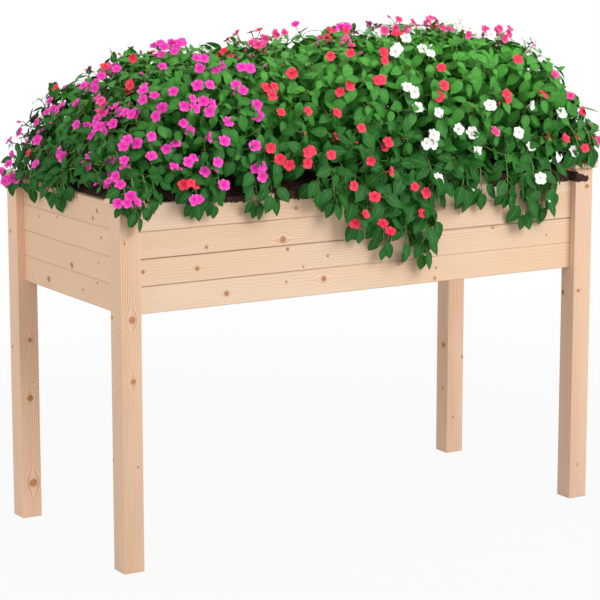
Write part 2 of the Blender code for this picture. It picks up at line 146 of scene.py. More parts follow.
# The clusters of flowers along the front, by colour: (x, height, how many flowers)
IN_FLOWER = {
    "magenta": [
        (-0.43, 0.82, 2), (-0.42, 0.90, 3), (-0.40, 0.91, 1), (-0.41, 0.80, 2), (-0.39, 0.74, 2),
        (-0.37, 0.85, 1), (-0.36, 0.79, 1), (-0.36, 0.92, 3), (-0.35, 0.89, 1), (-0.33, 0.87, 1),
        (-0.33, 0.97, 2), (-0.32, 0.99, 3), (-0.29, 0.94, 2), (-0.29, 0.82, 1), (-0.27, 0.76, 3),
        (-0.26, 0.89, 2), (-0.26, 0.99, 2), (-0.55, 0.74, 4), (-0.53, 0.86, 3), (-0.54, 0.83, 2),
        (-0.48, 0.86, 1), (-0.45, 0.85, 1), (-0.56, 0.79, 3), (-0.48, 0.80, 1), (-0.54, 0.89, 1),
        (-0.46, 0.94, 1), (-0.48, 0.91, 1), (-0.43, 0.94, 2), (-0.50, 0.93, 2), (-0.30, 1.01, 2),
        (-0.33, 1.00, 2), (-0.27, 1.01, 2),
    ],
    "coral": [
        (-0.43, 0.76, 3), (-0.26, 0.83, 1), (-0.23, 0.95, 3), (-0.23, 0.89, 1), (-0.20, 0.83, 2),
        (-0.19, 0.77, 3), (-0.17, 0.98, 1), (-0.13, 0.89, 1), (-0.10, 0.88, 1), (-0.10, 0.81, 1),
        (-0.07, 0.75, 1), (-0.07, 0.84, 1), (-0.05, 0.68, 2), (-0.05, 0.97, 1), (-0.05, 1.00, 1),
        (-0.05, 0.78, 1), (-0.04, 0.92, 2), (-0.02, 0.70, 1), (-0.02, 0.83, 1), (-0.01, 0.77, 1),
        (0.01, 0.94, 2), (0.02, 0.84, 2), (0.02, 0.66, 1), (0.05, 1.00, 2), (0.04, 0.60, 1),
        (0.09, 0.71, 1), (0.12, 0.70, 1), (0.12, 0.64, 1), (0.15, 0.93, 2), (0.18, 0.97, 1),
        (0.34, 0.99, 1), (0.35, 0.91, 2), (0.39, 0.91, 1), (0.42, 0.84, 1), (0.44, 0.77, 1),
        (0.51, 0.79, 1), (0.48, 0.79, 1), (0.53, 0.84, 1),
    ],
    "white": [
        (0.09, 0.95, 3), (0.10, 1.01, 2), (0.11, 0.88, 1), (0.13, 0.81, 3), (0.14, 0.74, 1),
        (0.15, 1.00, 2), (0.15, 0.88, 1), (0.21, 0.83, 1), (0.24, 0.81, 1), (0.26, 0.74, 1),
        (0.28, 0.92, 1), (0.34, 0.88, 1), (0.35, 0.82, 1), (0.40, 0.77, 1), (0.42, 0.70, 1),
        (0.46, 0.82, 1), (0.49, 0.77, 1),
    ],
    "pink": [(0.54, 0.77, 1), (0.49, 0.86, 1), (0.36, 0.84, 1), (0.46, 0.87, 1)],
}
# Tips of further shoots: past the right-hand end, low inside it, and standing up at the top left
SPRAYS = np.array([
    (0.578, -0.242, 0.782), (0.590, -0.208, 0.792), (0.598, -0.172, 0.770), (0.564, -0.262, 0.806),
    (0.574, -0.226, 0.824), (0.598, -0.132, 0.780), (0.552, -0.246, 0.846), (0.600, -0.095, 0.770),
    (0.558, -0.264, 0.786), (0.570, -0.258, 0.778), (0.545, -0.240, 0.784), (0.570, -0.180, 0.770),
    (0.560, -0.150, 0.756), (0.574, -0.110, 0.760), (0.562, -0.185, 0.764), (0.548, -0.128, 0.756),
    (0.566, -0.070, 0.756), (0.572, -0.030, 0.756), (0.516, -0.258, 0.796),
    (-0.300, 0.020, 1.004), (-0.330, -0.020, 1.000), (-0.270, 0.060, 1.008),
])
# Knots, as (along the grain, across it, radius), by the node that has them
KNOTS = {
    "board_front_1": [
        (-0.326, 0.537, 0.0062), (-0.188, 0.548, 0.0030), (-0.100, 0.546, 0.0060),
        (0.176, 0.544, 0.0028), (0.173, 0.522, 0.0036),
    ],
    "board_front_2": [
        (-0.185, 0.614, 0.0042), (-0.392, 0.593, 0.0048), (-0.090, 0.592, 0.0030),
        (-0.512, 0.597, 0.0040), (-0.148, 0.575, 0.0026), (0.035, 0.612, 0.0044),
        (0.320, 0.617, 0.0036), (0.462, 0.589, 0.0026),
    ],
    "board_front_3": [(-0.371, 0.634, 0.0044), (-0.196, 0.635, 0.0074)],
    "board_front_4": [(-0.165, 0.696, 0.0046)],
    "board_left_1": [(0.100, 0.534, 0.0070), (-0.061, 0.538, 0.0032), (-0.125, 0.561, 0.0032)],
    "board_left_2": [(-0.010, 0.580, 0.0062), (-0.131, 0.602, 0.0026)],
    "board_left_3": [(-0.145, 0.655, 0.0034), (0.056, 0.670, 0.0028), (0.139, 0.660, 0.0026)],
    "board_left_4": [(-0.109, 0.689, 0.0046), (-0.128, 0.706, 0.0050)],
    "leg_front_left": [
        (0.660, -0.559, 0.0024), (0.508, -0.546, 0.0080), (0.386, -0.545, 0.0060), (0.214, -0.537, 0.0024),
        (0.510, -0.222, 0.0040), (0.225, -0.218, 0.0030),
    ],
    "leg_front_right": [
        (0.464, 0.537, 0.0046), (0.690, 0.555, 0.0054), (0.075, 0.545, 0.0026), (0.455, -0.222, 0.0056),
    ],
    "leg_back_left": [
        (0.616, 0.247, 0.0044), (0.386, -0.545, 0.0062), (0.260, -0.547, 0.0074), (0.294, -0.540, 0.0022),
        (0.075, -0.544, 0.0100), (0.369, 0.248, 0.0034),
    ],
    "leg_back_right": [
        (0.258, 0.232, 0.0070), (0.154, 0.234, 0.0034), (0.086, 0.543, 0.0026), (0.228, 0.567, 0.0036),
    ],
    "board_right_2": [(0.060, 0.590, 0.0060), (-0.120, 0.606, 0.0030)],
    "board_right_4": [(-0.060, 0.702, 0.0052)],
    "board_back_1": [(0.280, 0.541, 0.0064), (-0.220, 0.536, 0.0040)],
    "board_back_3": [(-0.050, 0.646, 0.0070), (0.410, 0.652, 0.0036)],
    "board_back_4": [(0.160, 0.699, 0.0044)],
}
# How the wood of some pieces is tinted beside the front boards': a ruddier tone of their own, with painted
# shade that darkens the front legs and painted light on the back legs
WOOD_TINTS_AND_PAINTED_LIGHT = [
    ("board_front", (1.0, 1.0, 1.0)), ("board_back", (1.0, 1.0, 1.0)), ("board", (1.04, 0.885, 0.855)),
    ("leg_front", (0.875, 0.785, 0.81)), ("leg_back", (1.10, 0.967, 0.962)),
]
# How dark the painted shade in the joints between boards is: at the left and right of the lower edge, then
# of the upper one
JOINT_SHADES = [
    ("board_front_1", ((0.0, 0.0), (0.50, 0.0))),
    ("board_front_2", ((0.50, 0.0), (0.64, 0.58))),
    ("board_front_3", ((0.64, 0.58), (0.28, 0.0))),
    ("board_front_4", ((0.28, 0.0), (0.0, 0.0))),
    ("board_", ((0.08, 0.08), (0.08, 0.08))),
]
STRIPED = "board_front_3"  # the board whose rings show most
# The way the grain of each piece runs, where it isn't from left to right
GRAINS = [("leg_", "z"), ("board_left", "y"), ("board_right", "y"), ("slat_", "y")]

# What changes along the bed: x, and the value there
VIGOUR = [-0.55, -0.25, 0.05, 0.60], [0.78, 0.88, 1.0, 1.05]  # size of the leaves, and room between shoots
TONE_ALONG = [-0.50, -0.10, 0.10, 0.35], [0.0, 0.04, 0.07, 0.20]  # added to the leaves' tone
FLOWERING = [-0.45, -0.25, 0.0, 0.3, 0.6], [0.84, 0.76, 0.9, 1.0, 1.1]  # of the set share in flower
FLOWERING_TOP = [0.0, 0.3], [0.80, 2.10]  # how many times that above TOPMOST
FLOWER_SIZES = [-0.5, -0.1], [0.89, 0.98]  # of the set width
# The share of the flowers in each colour; the rest are coral
MAGENTA = [-0.45, -0.28, -0.05, 0.08, 0.60], [0.96, 0.80, 0.26, 0.02, 0.03]
WHITE = [0.08, 0.22, 0.50, 0.60], [0.0, 0.80, 0.76, 0.20]
PINK = [-0.60, -0.10, 0.30, 0.50, 0.60], [0.0, 0.04, 0.08, 0.34, 0.42]
# The foot of the compost that has spilt over the front boards, below the rim, and its upper edge
SPILL_DEPTH = [-0.34, -0.28, 0.15, 0.36, 0.55], [0.008, 0.013, 0.022, 0.026, 0.027]
SPILL_BROW = [0.500, 0.556], [RIM + 0.001, RIM - 0.018]

# ---- shapes and looks of the plants' parts, and of the crumbs ----------------------------------
SOWN = 90000  # tries at a tip, enough to fill the mound's surface
LIMB_REACH = np.array([0.150, 0.075, 0.165])  # how far a limb reaches from its plant's heart, by axis
LIMB_RADII = 0.0046, 0.0028  # at its root and at its end
LEAF_ALONG = np.array([0.09, 0.26, 0.46, 0.66, 0.84])
LEAF_ACROSS = np.array([-1.0, -0.5, 0.0, 0.5, 1.0])
EGG_WIDEST = 0.3905  # the egg's greatest half width before it is scaled
LEAF_STALK = [0.0010, 0.0008, 0.0006]  # its radius from the shoot to the blade
# A leaf's tone, from deep green at 0 to fresh green at 1: that of a young leaf low on the mound, and what
# is added where it has grown up, hangs, stands high, or is inside the mound. Standing high adds painted
# light, for the light that falls on the mound's top, and being inside the mound adds painted shade.
TONE_LOW, TONE_GROWN_UP, TONE_HANGING, TONE_HIGH_PAINTED_LIGHT, TONE_INSIDE_PAINTED_SHADE = 0.225, -0.26, -0.16, 0.91, -0.18
PETALS = 5
PETAL_SIZES = np.array([0.86, 1.0, 1.08, 1.08, 1.0])  # the uppermost first
PETAL_ALONG = np.array([0.05, 0.60, 1.0])
PETAL_ACROSS = np.array([-1.0, -0.5, 0.0, 0.5, 1.0])
KIND_WIDTHS = np.array([1.02, 0.95, 1.12, 0.97])  # of magenta, coral, white and pink flowers
TOPMOST = 0.97  # flowers above this stand on the crest of the mound
FLOWER_STALK = [0.0008, 0.0007, 0.00065, 0.0006, 0.0011]
SPUR = (0.0, 0.0), (0.5, 0.0), (0.9, 0.3), (0.7, 0.8)  # how far back and down it goes, in flower radii
SPUR_RADII = np.array([0.13, 0.09, 0.06, 0.03])
BEAD_PLACES, BEAD_RADII = np.array([-0.05, 0.10, 0.16]), np.array([0.13, 0.11, 0.04])  # in flower radii too
BUD_PLACES, BUD_RADII = np.array([0, 0.0028, 0.0065, 0.0095]), [0.0010, 0.0026, 0.0024, 0.0006]
CRUMB_LEAST, CRUMB_RANGE = 0.0011, 0.0030  # the smallest crumb's radius, and what the largest has more
SPILT_RADII = 0.0016, 0.0032
CRUST_COLUMNS = 25

# ---- the stage's places ----------------------------------------------------------------------
FLOOR_REACH = 9.0
KEY_PLACE, KEY_WIDTH = (1.5, -3.0, 2.6), 2.2
FILL_PLACE, FILL_WIDTH = (-3.0, -0.6, 1.8), 2.0
LIGHTS_AIM = (0, 0, 0.6)
CAMERA_PLACE = (-2.652, -4.374, 1.4145)
CAMERA_DOWN, CAMERA_RIGHT = 10.64, 31.14  # degrees that it looks down, and to the right of the bed's depth


def linear(*screen):
    """A screen colour as the linear values that a shader takes."""
    return tuple(c / 12.92 if c <= 0.04045 else ((c + 0.055) / 1.055) ** 2.4 for c in screen)


# Each kind of flower: the colour of its eye, and how far its petals pale towards their rims
PETAL_LOOKS = {
    "magenta": (linear(0.88, 0.07, 0.45), 0.10),
    "coral": (linear(0.86, 0.08, 0.19), 0.05),
    "white": (linear(0.83, 0.86, 0.66), 0.40),
    "pink": (linear(0.85, 0.07, 0.30), 0.16),
}


# ---- settings ------------------------------------------------------------------------------
def size(name, about, default, low=0.0):
    return FloatProperty(name=name, description=about, default=default, min=low, unit="LENGTH", precision=4)


def share(name, about, default, low=-10.0):
    return FloatProperty(name=name, description=about, default=default, min=low)


def whole(name, about, default):
    return IntProperty(name=name, description=about, default=default, min=0)


def colour(name, about, *screen):
    return FloatVectorProperty(
        name=name, description=about, subtype="COLOR", size=3, min=0, max=1, default=linear(*screen)
    )


def watts(name, about, default):
    return FloatProperty(name=name, description=about, default=default, min=0, unit="POWER")


class MoundSettings(bpy.types.PropertyGroup):
    half_length: size("Half length", "From the middle of the mound of leaves to its end", 0.611)
    half_width: size("Half width", "From the middle of the mound of leaves to its front", 0.310)
    base: size("Base", "Height at which the mound is widest", 0.720)
    height: size("Height", "From the base to the top of the mound", 0.307)
    lean: share("Lean", "How much higher the mound's right end is than its left", 0.110)
    squareness: share("Squareness", "Power of the plan: 2 is an ellipse, and higher is squarer", 10.0)
    bulge: share("Bulge", "Power of the rise: higher is fuller at the shoulder", 1.66)
    fall_left: share("Fall at the left", "How steep the sides stand at the left end", 5.0)
    fall_right: share("Fall at the right", "How steep the sides stand at the right end", 8.0)


class ShootSettings(bpy.types.PropertyGroup):
    seed: whole("Seed", "Another number gives other shoots", 11)
    gap: size("Gap", "Distance between the tips of neighbouring shoots", 0.0400, 0.02)
    inset: size("Inset", "Depth of the tips below the mound's surface", 0.022)
    under: size("Under layer", "How far below the tips a second layer of shoots ends", 0.045)
    limbs: whole("Limbs", "Main branches in each plant", 10)
    trunk: size("Trunk radius", "Radius of a plant's stem at the compost", 0.0092)
    twig: size("Twig radius", "Radius of a shoot at its root", 0.0022)
    young: colour("Young stem", "Colour of a stem near its tip", 0.46, 0.66, 0.30)
    old: colour("Old stem", "Colour of a stem near its root", 0.36, 0.42, 0.20)


class LeafSettings(bpy.types.PropertyGroup):
    count: whole("Leaves on a shoot", "Counted from the tip", 12)
    length: size("Length", "A grown leaf, without its stalk", 0.0385)
    breadth: share("Breadth", "Width as a share of the length", 0.66)
    stalk: size("Stalk", "Length of a grown leaf's stalk", 0.014)
    droop: share("Droop", "How far a blade bends down along its length, in radians", 0.62)
    fold: share("Fold", "How far a blade's halves rise from its midrib", 0.20)
    fresh: colour("Fresh green", "Upper side of a young leaf", 0.37, 0.74, 0.26)
    deep: colour("Deep green", "Upper side of an old leaf", 0.06, 0.39, 0.06)
    vein: colour("Vein", "Midrib and side veins", 0.44, 0.68, 0.34)


class FlowerSettings(bpy.types.PropertyGroup):
    width: size("Width", "Across a flower", 0.0270)
    share: share("Share", "Shoots that are in flower, out of one", 0.36)
    stalk: size("Stalk", "Length of a flower's stalk", 0.024)
    magenta: colour("Magenta", "Flowers of the left-hand plants", 1.0, 0.19, 0.76)
    coral: colour("Coral", "Flowers of the middle plants", 1.0, 0.17, 0.33)
    white: colour("White", "Flowers of the right-hand plants", 0.97, 0.97, 0.95)
    pink: colour("Pink", "Flowers of the plants at the right end", 1.0, 0.19, 0.58)


class TimberSettings(bpy.types.PropertyGroup):
    pale: colour("Pale wood", "Spring wood of planed pine", 0.957, 0.850, 0.742)
    ring: colour("Growth ring", "Summer wood of planed pine", 0.87, 0.69, 0.53)
    knot: colour("Knot", "Heart of a knot", 0.775, 0.51, 0.325)
    # also the colour of the painted shade along the joints between boards
    bark: colour("Knot's edge", "The dark ring round a knot", 0.54, 0.32, 0.20)
    spacing: size("Ring spacing", "From one growth ring to the next", 0.0052, 0.001)


class SoilSettings(bpy.types.PropertyGroup):
    dark: colour("Dark compost", "Moist compost in its hollows", 0.23, 0.155, 0.15)
    light: colour("Light compost", "Dry compost on top of its crumbs", 0.58, 0.42, 0.37)
    crumbs: whole("Crumbs", "Loose crumbs on the compost and the rim", 2200)
    spilt: whole("Spilt crumbs", "Crumbs that cling to the front boards below the rim", 1300)
    seed: whole("Seed", "Another number gives other crumbs", 5)


class StageSettings(bpy.types.PropertyGroup):
    floor: colour("Floor", "Colour of the floor", 0.68, 0.68, 0.68)
    lens: FloatProperty(
        name="Lens", description="Focal length on a 36 mm sensor", default=145.67, subtype="DISTANCE_CAMERA"
    )
    key: watts("Key light", "The soft light over the camera's right", 83.0)
    fill: watts("Fill light", "The soft light at the left", 20.0)
    sky: share("Sky", "Strength of the plain light from all round", 0.73, 0.0)


def settings(name):
    """One group of the scene's settings."""
    return getattr(bpy.context.scene, f"raised_bed_{name}")


# ---- meshes --------------------------------------------------------------------------------
OTHER_WAY = [0, 3, 2, 1]  # the corners of a quad, for the same face seen from its other side


def unit(vectors):
    """The vectors at length 1."""
    return vectors / np.maximum(np.linalg.norm(vectors, axis=-1, keepdims=True), 1e-9)


def chosen(lot, which):
    """Some members of a lot, with all that it says of each."""
    return SimpleNamespace(**{key: value[which] for key, value in vars(lot).items()})


def add_piece(name, points, faces, materials, uv=None, tone=None, material_of=None):
    """A mesh from whole arrays. faces is a list of arrays of corner numbers, and all faces in one array
    have the same number of sides."""
    mesh = bpy.data.meshes.new(name)
    corners = np.concatenate([f.ravel() for f in faces]).astype(np.int32)
    sides = np.concatenate([np.full(len(f), f.shape[1]) for f in faces])
    mesh.vertices.add(len(points))
    mesh.vertices.foreach_set("co", (points + MIDDLE).astype(np.float32).ravel())
    mesh.loops.add(len(corners))
    mesh.loops.foreach_set("vertex_index", corners)
    mesh.polygons.add(len(sides))
    mesh.polygons.foreach_set("loop_start", (np.cumsum(sides) - sides).astype(np.int32))
    mesh.polygons.foreach_set("use_smooth", np.ones(len(sides), bool))
    if uv is not None:
        layer = mesh.uv_layers.new(name="Along")
        layer.data.foreach_set("uv", uv[corners].astype(np.float32).ravel())
    if tone is not None:
        layer = mesh.attributes.new("tone", "FLOAT", "POINT")
        layer.data.foreach_set("value", tone.astype(np.float32))
    for material in materials:
        mesh.materials.append(material)
    if material_of is not None:
        mesh.polygons.foreach_set("material_index", material_of.astype(np.int32))
    mesh.update(calc_edges=True)
    if mesh.validate():
        raise RuntimeError(f"{name}: its mesh had faces that Blender had to mend")
    piece = bpy.data.objects.new(name, mesh)
    bpy.context.scene.collection.objects.link(piece)
    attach(piece, "root")
    return piece


def repeated(count, corners, faces):
    """The faces of one shape, for that many copies of it laid end to end."""
    return [(f[None] + corners * np.arange(count)[:, None, None]).reshape(-1, f.shape[1]) for f in faces]


def quads(index, closed=False):
    """The faces between neighbouring rows of corners. Where the rows are closed, each is a ring."""
    if closed:
        index = np.concatenate([index, index[..., :1]], axis=-1)
    low, high = index[..., :-1, :], index[..., 1:, :]
    return np.stack([low[..., :-1], low[..., 1:], high[..., 1:], high[..., :-1]], axis=-1).reshape(-1, 4)


def bezier(curves, t):
    """Points and directions at t (0 to 1) on curves of four points: a curve leaves its first point towards
    its second, and reaches its last from its third."""
    p0, p1, p2, p3 = (curves[..., None, k, :] for k in range(4))
    s = 1 - t
    points = s**3 * p0 + 3 * s * s * t * p1 + 3 * s * t * t * p2 + t**3 * p3
    return points, unit(3 * s * s * (p1 - p0) + 6 * s * t * (p2 - p1) + 3 * t * t * (p3 - p2))


def tubes(paths, radii, sides):
    """Round stems: at each point of each path a ring of corners stands square to it at that radius,
    point = path + radius (side cos a + other sin a), and a flat face closes each end."""
    count, rings = paths.shape[:2]
    ahead = unit(np.gradient(paths, axis=1))
    upright = np.abs(ahead[:, :, 2:]).mean(axis=1, keepdims=True) > 0.8
    side = unit(np.cross(ahead, np.where(upright, (1.0, 0.0, 0.0), UP)))
    other = np.cross(ahead, side)
    turn = 2 * math.pi * np.arange(sides)[:, None] / sides
    ring = side[:, :, None] * np.cos(turn) + other[:, :, None] * np.sin(turn)
    points = paths[:, :, None] + radii[:, :, None, None] * ring
    index = np.arange(count * rings * sides).reshape(count, rings, sides)
    ends = np.concatenate([index[:, 0, ::-1], index[:, -1]])
    age = np.broadcast_to((np.arange(rings) / (rings - 1))[None, :, None], index.shape)
    return SimpleNamespace(points=points.reshape(-1, 3), faces=[quads(index, True), ends], tone=age.ravel())


def joined(parts):
    """Several lots of tubes as one."""
    points, faces, start = [], [], 0
    for part in parts:
        faces += [f + start for f in part.faces]
        points.append(part.points)
        start += len(part.points)
    return np.concatenate(points), faces, np.concatenate([part.tone for part in parts])


# ---- the bed, as the plants meet it ----------------------------------------------------------
def soil_height(x, y):
    """The heap: its height at the boards, and a rise that is full within a hand's breadth of them."""
    crown = np.clip((1 - np.abs(x / INNER_X) ** 10) * (1 - np.abs(y / INNER_Y) ** 6), 0, None) ** 0.8
    clods = 0.0016 * np.sin(61 * x + 2 * np.sin(23 * y)) * np.sin(71 * y + 1.7 * np.sin(31 * x))
    return SOIL_LOW + (SOIL_RISE + clods) * crown


def clear_of_bed(points, margin=0.0016):
    """Points moved out of the timber and the compost by the shortest way: up on to them, or out past one of
    their faces."""
    shape = points.shape
    p = points.reshape(-1, 3).copy()
    far_x, far_y = np.abs(p[:, 0]), np.abs(p[:, 1])
    inside = (far_x < INNER_X) & (far_y < INNER_Y)
    p[:, 2] = np.where(inside, np.maximum(p[:, 2], soil_height(p[:, 0], p[:, 1]) + margin), p[:, 2])
    at_cap = (far_x > CAP_X - CAP - margin) & (far_y > CAP_Y - CAP - margin)
    for where, reach_x, reach_y, top in ((~inside, OUTER_X, OUTER_Y, RIM), (at_cap, CAP_X, CAP_Y, CAP_TOP)):
        inwards = [reach_x - np.abs(p[:, 0]), reach_y - np.abs(p[:, 1]), top - p[:, 2]]
        ways = np.stack(inwards, axis=1) + margin
        caught = where & (ways > 0).all(axis=1)
        shortest = ways.argmin(axis=1)[:, None] == np.arange(3)
        outwards = np.sign(p) * (1, 1, 0) + UP
        p += np.where(caught[:, None] & shortest, outwards * ways, 0)
    return p.reshape(shape)


def within_reach(points):
    """For each leaf or flower, whether all its points stay inside the box that the plants may fill."""
    x, y, z = np.moveaxis(points, -1, 0)
    return ((np.abs(x) < PROUD_X) & (np.abs(y) < PROUD_Y) & (z < PROUD_TOP)).all(axis=-1)


# ---- growth --------------------------------------------------------------------------------
def outside_mound(points, inset):
    """Below 0 inside the mound, above 0 outside it: plan^fall + rise^bulge - 1, where plan is a squared-off
    ellipse's distance, rise is the share of the height, and fall grows from the left end to the right."""
    mound = settings("mound")
    x, y, z = np.moveaxis(points, -1, 0)
    reach_x, reach_y = mound.half_length - inset, mound.half_width - inset
    power = mound.squareness
    plan = (np.abs(x / reach_x) ** power + np.abs(y / reach_y) ** power) ** (1 / power)
    along = np.clip(x / reach_x, -1, 1)
    fall = mound.fall_left + (mound.fall_right - mound.fall_left) * (along + 1) / 2
    rise = np.clip((z - mound.base) / (mound.height * (1 + mound.lean * along) - inset), 0, None)
    return plan**fall + rise**mound.bulge - 1


def slope(points, inset, step=0.001):
    """The way out of the mound at each point, and how far the surface is."""
    shifts = np.eye(3)[:, None] * step
    rise = [outside_mound(points + s, inset) - outside_mound(points - s, inset) for s in shifts]
    rise = np.stack(rise, axis=-1) / (2 * step)
    steep = np.maximum(np.linalg.norm(rise, axis=-1), 1e-9)
    return rise / steep[:, None], outside_mound(points, inset) / steep


def spread_out(points, gap):
    """Which points to keep so that none is nearer to another than its gap: in each round a point that comes
    first among those near it stays, and the others near it go."""
    near = np.linalg.norm(points[:, None] - points[None], axis=-1) < (gap[:, None] + gap[None]) / 2
    order, left, kept = np.arange(len(points)), np.ones(len(points), bool), np.zeros(len(points), bool)
    while left.any():
        first = np.where(near & left, order, len(points)).min(axis=1)
        stays = left & (first == order)
        kept |= stays
        left &= ~near[stays].any(axis=0)
    return kept


def trailing(rng):
    """The shoots that hang over the rim: each bends over the boards and hangs down their face. Over the two
    ends x and y change places."""
    rows = [
        (PLANTS.index(name), *trail, at_end)
        for at_end, table in ((False, TRAILS), (True, END_TRAILS))
        for name, trails in table.items()
        for trail in trails
    ]
    plants, spot, drop, at_end = (np.array(column) for column in zip(*rows))
    base = np.where(at_end[:, None], BASES[plants][:, [1, 0]], BASES[plants][:, :2])
    side, outer = np.sign(base[:, 1]), np.where(at_end, OUTER_X, OUTER_Y)
    # over a cap they go out past its edge
    capped = (np.abs(spot) > np.where(at_end, CAP_Y, CAP_X) - CAP - 0.010).astype(float)
    clear = rng.uniform(0.018, 0.030, len(rows)) * (1 - 0.6 * capped)
    face = side * (outer + clear + capped * (CAP_Y - OUTER_Y))
    low = RIM - drop + 0.026
    over = np.maximum(low + 0.040, RIM + 0.050)
    ways_out = np.stack([side * (outer - 0.025), face + side * 0.008, face], axis=1)
    heights = np.stack([over + 0.030, over, low], axis=1)
    curves = np.stack([np.repeat(spot[:, None], 3, axis=1), ways_out, heights], axis=2)
    out = np.stack([np.where(at_end, -0.85, 0), side, 0 * side + 0.25], axis=1)
    swap = at_end[:, None]
    curves = np.where(swap[:, None], curves[..., [1, 0, 2]], curves)
    return curves, plants, unit(np.where(swap, out[:, [1, 0, 2]], out))


def over_window(points, margin):
    """Whether each point is low over one of the gaps between the plants, which run inwards at a slant."""
    x, y, z = np.moveaxis(points, -1, 0)
    slant = x - 0.6 * (y + INNER_Y)
    over = (x < -0.46) & (y < -0.110) & (y > -0.165) & (z < RIM + 0.026 + margin)
    for low, high, clear in WINDOWS:
        inside = (slant > low - margin / 4) & (slant < high + margin / 4)
        over |= inside & (x < 0.535) & (y < -0.10) & (z < RIM + clear + margin)
    return over


def sown(rng, inset, gap):
    """Tips strewn over the mound's surface that deep, none nearer to another than the gap, and clear of the
    rim where the compost shows between the plants."""
    mound = settings("mound")
    low = (-mound.half_length, -mound.half_width, RIM + 0.018)
    high = (mound.half_length, mound.half_width, mound.base + mound.height * 1.13)
    spots = rng.uniform(low, high, (SOWN, 3))
    spots = spots[np.abs(slope(spots, inset)[1]) < 0.005]
    out = slope(spots, inset)[0]
    # low at the back they stand only where others hang over the rim
    hung = np.zeros(len(spots), bool)
    for name, trails in TRAILS.items():
        side = math.copysign(1, BASES[PLANTS.index(name)][1])
        for x, _ in trails:
            hung |= (np.abs(spots[:, 0] - x) < 0.030) & (spots[:, 1] * side > 0)
    low_back = (spots[:, 2] < RIM + 0.042) & (spots[:, 1] > 0.16) & (spots[:, 0] > -0.48) & ~hung
    keep = ~low_back & ~over_window(spots, 0.045) & (spots[:, 2] > RIM + 0.030) & (out[:, 2] > -0.2)
    spots, out = spots[keep], out[keep]
    kept = spread_out(spots, gap * np.interp(spots[:, 0], *VIGOUR))
    return spots[kept], out[kept]


def spread_tips(rng, shoots):
    """The tips of the shoots that stand: an outer layer, two more that fill the heart, and the sprays. Also
    the way out at each, and which are in the two inner layers."""
    tips, out = sown(rng, shoots.inset, shoots.gap)
    room = np.clip((PROUD_TOP - 0.03 - tips[:, 2:]) / 0.05, 0.4, 1)
    tips = tips - out * rng.uniform(-0.008, 0.014, (len(tips), 1)) * room
    under, under_out = sown(rng, shoots.inset + shoots.under, shoots.gap * 0.95)
    heart, heart_out = sown(rng, shoots.inset + 2 * shoots.under, shoots.gap * 1.05)
    spray_out = unit(np.where(SPRAYS[:, 2:] > 0.95, (-0.1, -0.4, 0.9), (1.0, -0.7, 0.25)))
    inner = np.repeat([0.0, 1.0, 0.0], [len(tips), len(under) + len(heart), len(SPRAYS)])
    tips = np.concatenate([tips, under, heart, SPRAYS])
    return tips, np.concatenate([out, under_out, heart_out, spray_out]), inner


def spread_limbs(shoots):
    """Each plant's limbs, which fan out evenly from its heart and end inside the mound, and the ground that
    it stands on."""
    k = np.arange(shoots.limbs) + 0.5
    lift = 1 - 1.15 * k / shoots.limbs
    turn = GOLDEN * k + np.arange(len(PLANTS))[:, None] * 1.3
    flat = np.sqrt(1 - lift**2)
    way = np.stack([flat * np.cos(turn), flat * np.sin(turn), np.broadcast_to(lift, turn.shape)], axis=-1)
    ground = BASES + UP * soil_height(BASES[:, 0], BASES[:, 1])[:, None]
    heart = ground[:, None] + UP * 0.045
    steps = np.linspace(0.1, 1, 19)
    ray = heart[:, :, None] + (way * LIMB_REACH)[:, :, None] * steps[:, None]
    within = outside_mound(ray, shoots.inset + 0.020) < 0
    ends = heart + way * LIMB_REACH * (steps * within).max(axis=2)[..., None]
    ends[..., 2] = np.maximum(ends[..., 2], RIM + 0.045)
    root = ground[:, None] + way * (0.004, 0.004, 0) + UP * 0.012
    fork = root + UP * 0.035 + way * 0.004
    return np.stack([root, fork, heart + (ends - heart) * 0.6, ends], axis=2), ground


def from_limb(limbs, points, plant):
    """The place on that plant's limbs that is nearest to each point, and the way the limb runs there."""
    t = np.linspace(0.35, 1, 6)[:, None]
    along, ahead = (part.reshape(-1, 3) for part in bezier(limbs, t))
    owner = np.repeat(np.arange(len(PLANTS)), limbs.shape[1] * len(t))
    off = np.linalg.norm(points[:, None] - along[None], axis=-1) + 10.0 * (plant[:, None] != owner)
    nearest = off.argmin(axis=1)
    return along[nearest], ahead[nearest]


